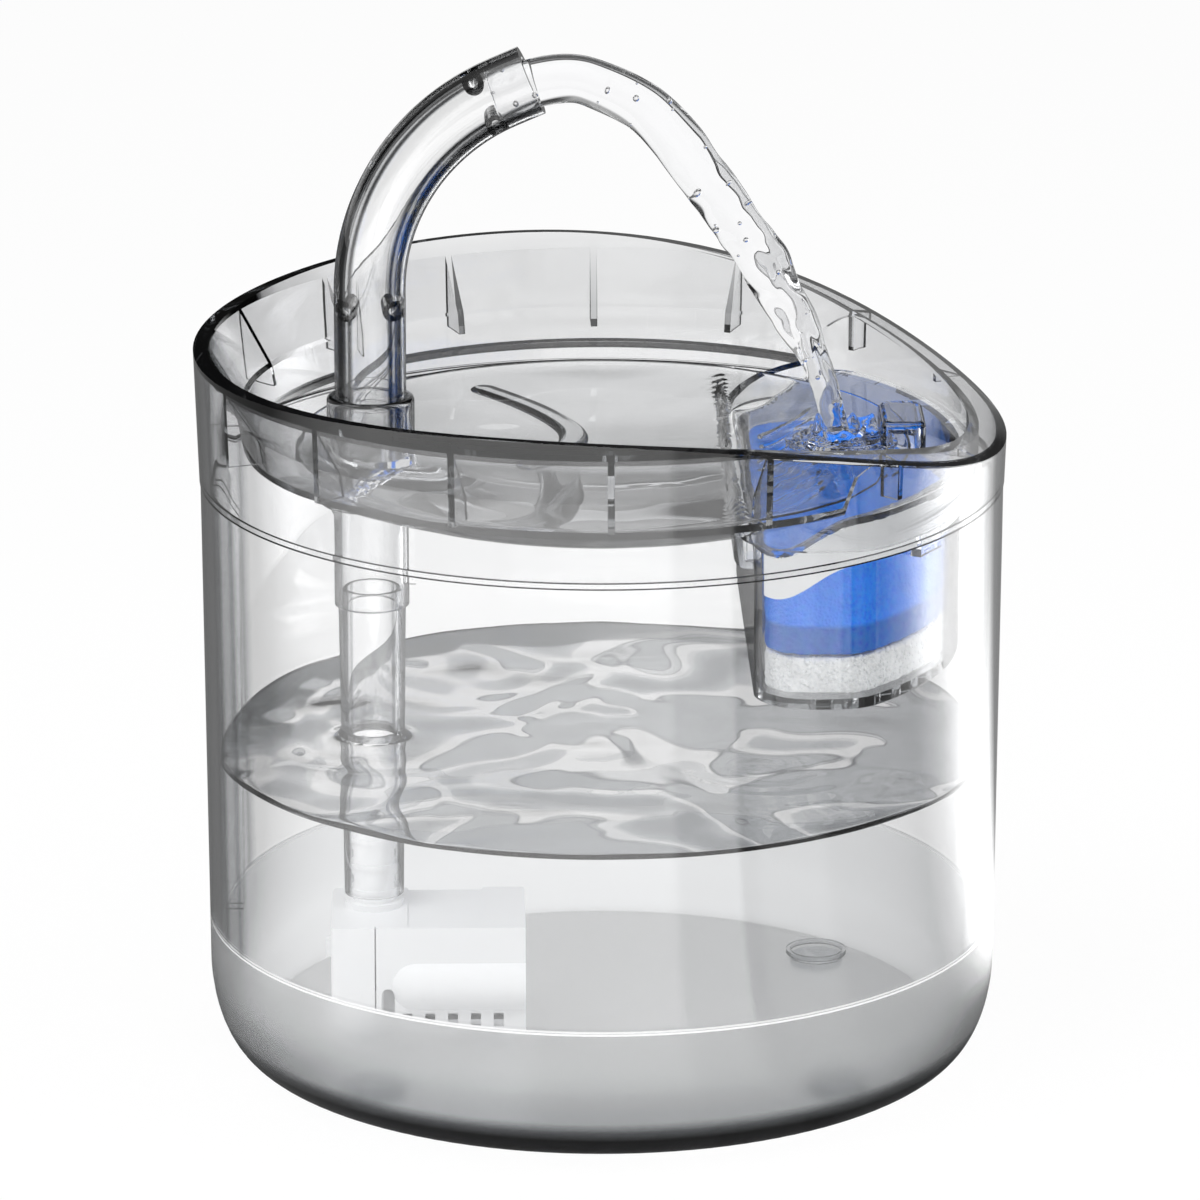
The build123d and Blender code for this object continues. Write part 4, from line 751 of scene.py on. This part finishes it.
def foamMaterial(name, look):
    # open-cell foam or wadding: bright walls with small cells painted deeper in tone as shade in the pores, coarser and
    # deeper below a height
    material, tree = startMaterial(name)
    where = addNode(tree, "ShaderNodeTexCoord").outputs["Object"]
    height = addNode(tree, "ShaderNodeSeparateXYZ", {0: where}).outputs["Z"]
    edge = look.get("coarseBelow", 0.0)
    coarse = addNode(tree, "ShaderNodeMapRange", {0: height, 1: edge + foamLook["stepHalf"],
                                                  2: edge - foamLook["stepHalf"]}).outputs[0]
    fineAndCoarse = [addNode(tree, "ShaderNodeTexVoronoi", {"Vector": where, "Scale": 1 / cell}).outputs["Distance"]
                     for cell in (look["cell"], look["cell"] * foamLook["coarser"])]
    cells = addNode(tree, "ShaderNodeMix", {0: coarse, 2: fineAndCoarse[0], 3: fineAndCoarse[1]},
                    data_type="FLOAT").outputs[0]
    # painted shade: the hollow of each cell takes the deep tone
    cellToneWithPoreShade = addNode(tree, "ShaderNodeValToRGB", {0: cells}, [
        (0.0, look["deep"]), (foamLook["wallAt"], look["wall"]), (1.0, look["light"])])
    patches = addNode(tree, "ShaderNodeTexNoise", {"Vector": where, "Scale": 1 / foamLook["patch"],
                                                   "Detail": foamLook["patchDetail"]})
    wash = addNode(tree, "ShaderNodeMapRange", {0: patches.outputs["Fac"], 1: noiseLow, 2: noiseHigh,
                                                3: foamLook["patchLow"], 4: foamLook["patchHigh"]})
    shade = addNode(tree, "ShaderNodeMapRange", {0: coarse, 3: 1.0, 4: look.get("coarseShade", 1.0)})
    wash = addNode(tree, "ShaderNodeMath", {0: wash, 1: shade}, operation="MULTIPLY")
    tone = addNode(tree, "ShaderNodeMix", {0: 1.0, 6: cellToneWithPoreShade, 7: wash}, data_type="RGBA", blend_type="MULTIPLY")
    bump = addNode(tree, "ShaderNodeBump", {"Height": cells, "Strength": foamLook["bump"],
                                            "Distance": look["cell"] * foamLook["depth"]})
    body = addNode(tree, "ShaderNodeBsdfPrincipled", {
        "Base Color": tone.outputs[2], "Roughness": foamLook["roughness"], "Normal": bump,
        "Specular IOR Level": foamLook["specular"]})
    addNode(tree, "ShaderNodeOutputMaterial", {0: body})
    return material


# polyurethane foam with open cells, dyed blue: saturated and dull, coarser in its lower part
blueFoam = foamMaterial("reticulatedFoamBlue", {
    "cell": 0.8 * mm, "deep": "005CFF", "wall": "0080FF", "light": "0C94FF",
    "coarseBelow": 115.2 * mm, "coarseShade": 0.58})
# the same foam behind the strainer's slots, its dark foam painted a pale, dull grey so the slots read light: painted
# light
paintedPaleFoam = foamMaterial("reticulatedFoamPaintedPale", {
    "cell": 0.9 * mm, "deep": "9A9CA0", "wall": "B6B8BB", "light": "C4C6C9"})
# polyester wadding, needled: white and soft
cottonWadding = foamMaterial("needledCottonWadding", {
    "cell": 0.7 * mm, "deep": "DADDE0", "wall": "F2F4F5", "light": "FAFBFB"})

# each pad: the node it stands for, its body, finish and slot, and the remesh's voxel in mm
pads = {"filterSponge": ("filter_sponge", "filter", blueFoam, "blue_foam", 1.1),
        "filterCotton": ("filter_cotton", "filter", cottonWadding, "white_cotton", 1.3),
        "prefilterSponge": ("prefilter_sponge", "strainer", paintedPaleFoam, "dark_foam", 0.6)}
padSize = {"shrink": 0.25 * mm, "lumpHeight": 0.22 * mm, "lumpSize": 1.7 * mm}
for name, (node, body, material, slot, size) in pads.items():
    pad = solidCopy(name, node, size * mm, padSize["shrink"])
    for v in pad.data.vertices:
        v.co += v.normal * (padSize["lumpHeight"] * noise.noise(v.co / padSize["lumpSize"]))
    pad.data.materials.clear()
    pad.data.materials.append(material)
    pad.data.polygons.foreach_set("use_smooth", [True] * len(pad.data.polygons))
    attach(pad, body)
    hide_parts(node)
    print(name, "has", len(pad.data.polygons), "faces")


def scatterTree(name, finish, detail):
    # scatters small round shapes over the faces of a mesh, and leaves only the shapes
    tree = bpy.data.node_groups.new(name, "GeometryNodeTree")
    for title, kind in (("Geometry", "Geometry"), ("Density", "Float"), ("Smallest", "Float"), ("Largest", "Float"),
                        ("Sunk", "Float"), ("Flatness", "Float"), ("Seed", "Int")):
        tree.interface.new_socket(title, in_out="INPUT", socket_type="NodeSocket" + kind)
    tree.interface.new_socket("Geometry", in_out="OUTPUT", socket_type="NodeSocketGeometry")
    given = addNode(tree, "NodeGroupInput").outputs
    spots = addNode(tree, "GeometryNodeDistributePointsOnFaces", {
        "Mesh": given["Geometry"], "Density": given["Density"], "Seed": given["Seed"]})
    depth = addNode(tree, "ShaderNodeMath", {0: given["Sunk"], 1: -1.0}, operation="MULTIPLY")
    inward = addNode(tree, "ShaderNodeVectorMath", {0: spots.outputs["Normal"], "Scale": depth}, operation="SCALE")
    sunk = addNode(tree, "GeometryNodeSetPosition", {"Geometry": spots.outputs["Points"], "Offset": inward})
    size = addNode(tree, "FunctionNodeRandomValue", {2: given["Smallest"], 3: given["Largest"], "Seed": given["Seed"]},
                   data_type="FLOAT").outputs[1]
    low = addNode(tree, "ShaderNodeMath", {0: size, 1: given["Flatness"]}, operation="MULTIPLY")
    scale = addNode(tree, "ShaderNodeCombineXYZ", {0: size, 1: size, 2: low})
    ball = addNode(tree, "GeometryNodeMeshIcoSphere", {"Radius": 1.0, "Subdivisions": detail})
    smooth = addNode(tree, "GeometryNodeSetShadeSmooth", {"Geometry": ball.outputs["Mesh"]})
    placed = addNode(tree, "GeometryNodeInstanceOnPoints", {
        "Points": sunk, "Instance": smooth, "Rotation": spots.outputs["Rotation"],
        "Scale": scale})
    real = addNode(tree, "GeometryNodeRealizeInstances", {0: placed})
    done = addNode(tree, "GeometryNodeSetMaterial", {"Geometry": real, "Material": finish})
    addNode(tree, "NodeGroupOutput", {0: done})
    return tree


def scatterOn(name, source, tree, values):
    thing = bpy.data.objects.new(name, source.data.copy())
    scene.collection.objects.link(thing)
    modifier = thing.modifiers.new("scatter", "NODES")
    modifier.node_group = tree
    for socket in tree.interface.items_tree:
        if socket.in_out == "INPUT" and socket.name in values:
            modifier[socket.identifier] = values[socket.name]
    applyModifiers(thing)
    print(name, "has", len(thing.data.polygons), "faces")
    return thing


# air carried down by the falling water; Density is in shapes to the square metre
bubbleTree = scatterTree("airBubbles", bubbleAir, 3)
streamAir = {"Density": 6000.0, "Smallest": 0.18 * mm, "Largest": 0.75 * mm, "Sunk": 1.6 * mm, "Flatness": 1.0,
             "Seed": 4}
streamBubbles = scatterOn("streamBubbles", stream, bubbleTree, streamAir)
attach(streamBubbles, "faucet")
splashAir = {"Density": 42000.0, "Smallest": 0.2 * mm, "Largest": 0.7 * mm, "Sunk": 0.75 * mm, "Flatness": 1.0,
             "Seed": 9}
splashBubbles = scatterOn("splashBubbles", splash, bubbleTree, splashAir)
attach(splashBubbles, "filter_lid")

# the tufts that stand out of the wadding
tuftTree = scatterTree("waddingTufts", cottonWadding, 1)
tufts = {"Density": 520000.0, "Smallest": 0.35 * mm, "Largest": 0.8 * mm, "Sunk": 0.02 * mm, "Flatness": 0.32,
         "Seed": 2}
cottonTufts = scatterOn("cottonTufts", bpy.data.objects["filterCotton"], tuftTree, tufts)
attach(cottonTufts, "filter")
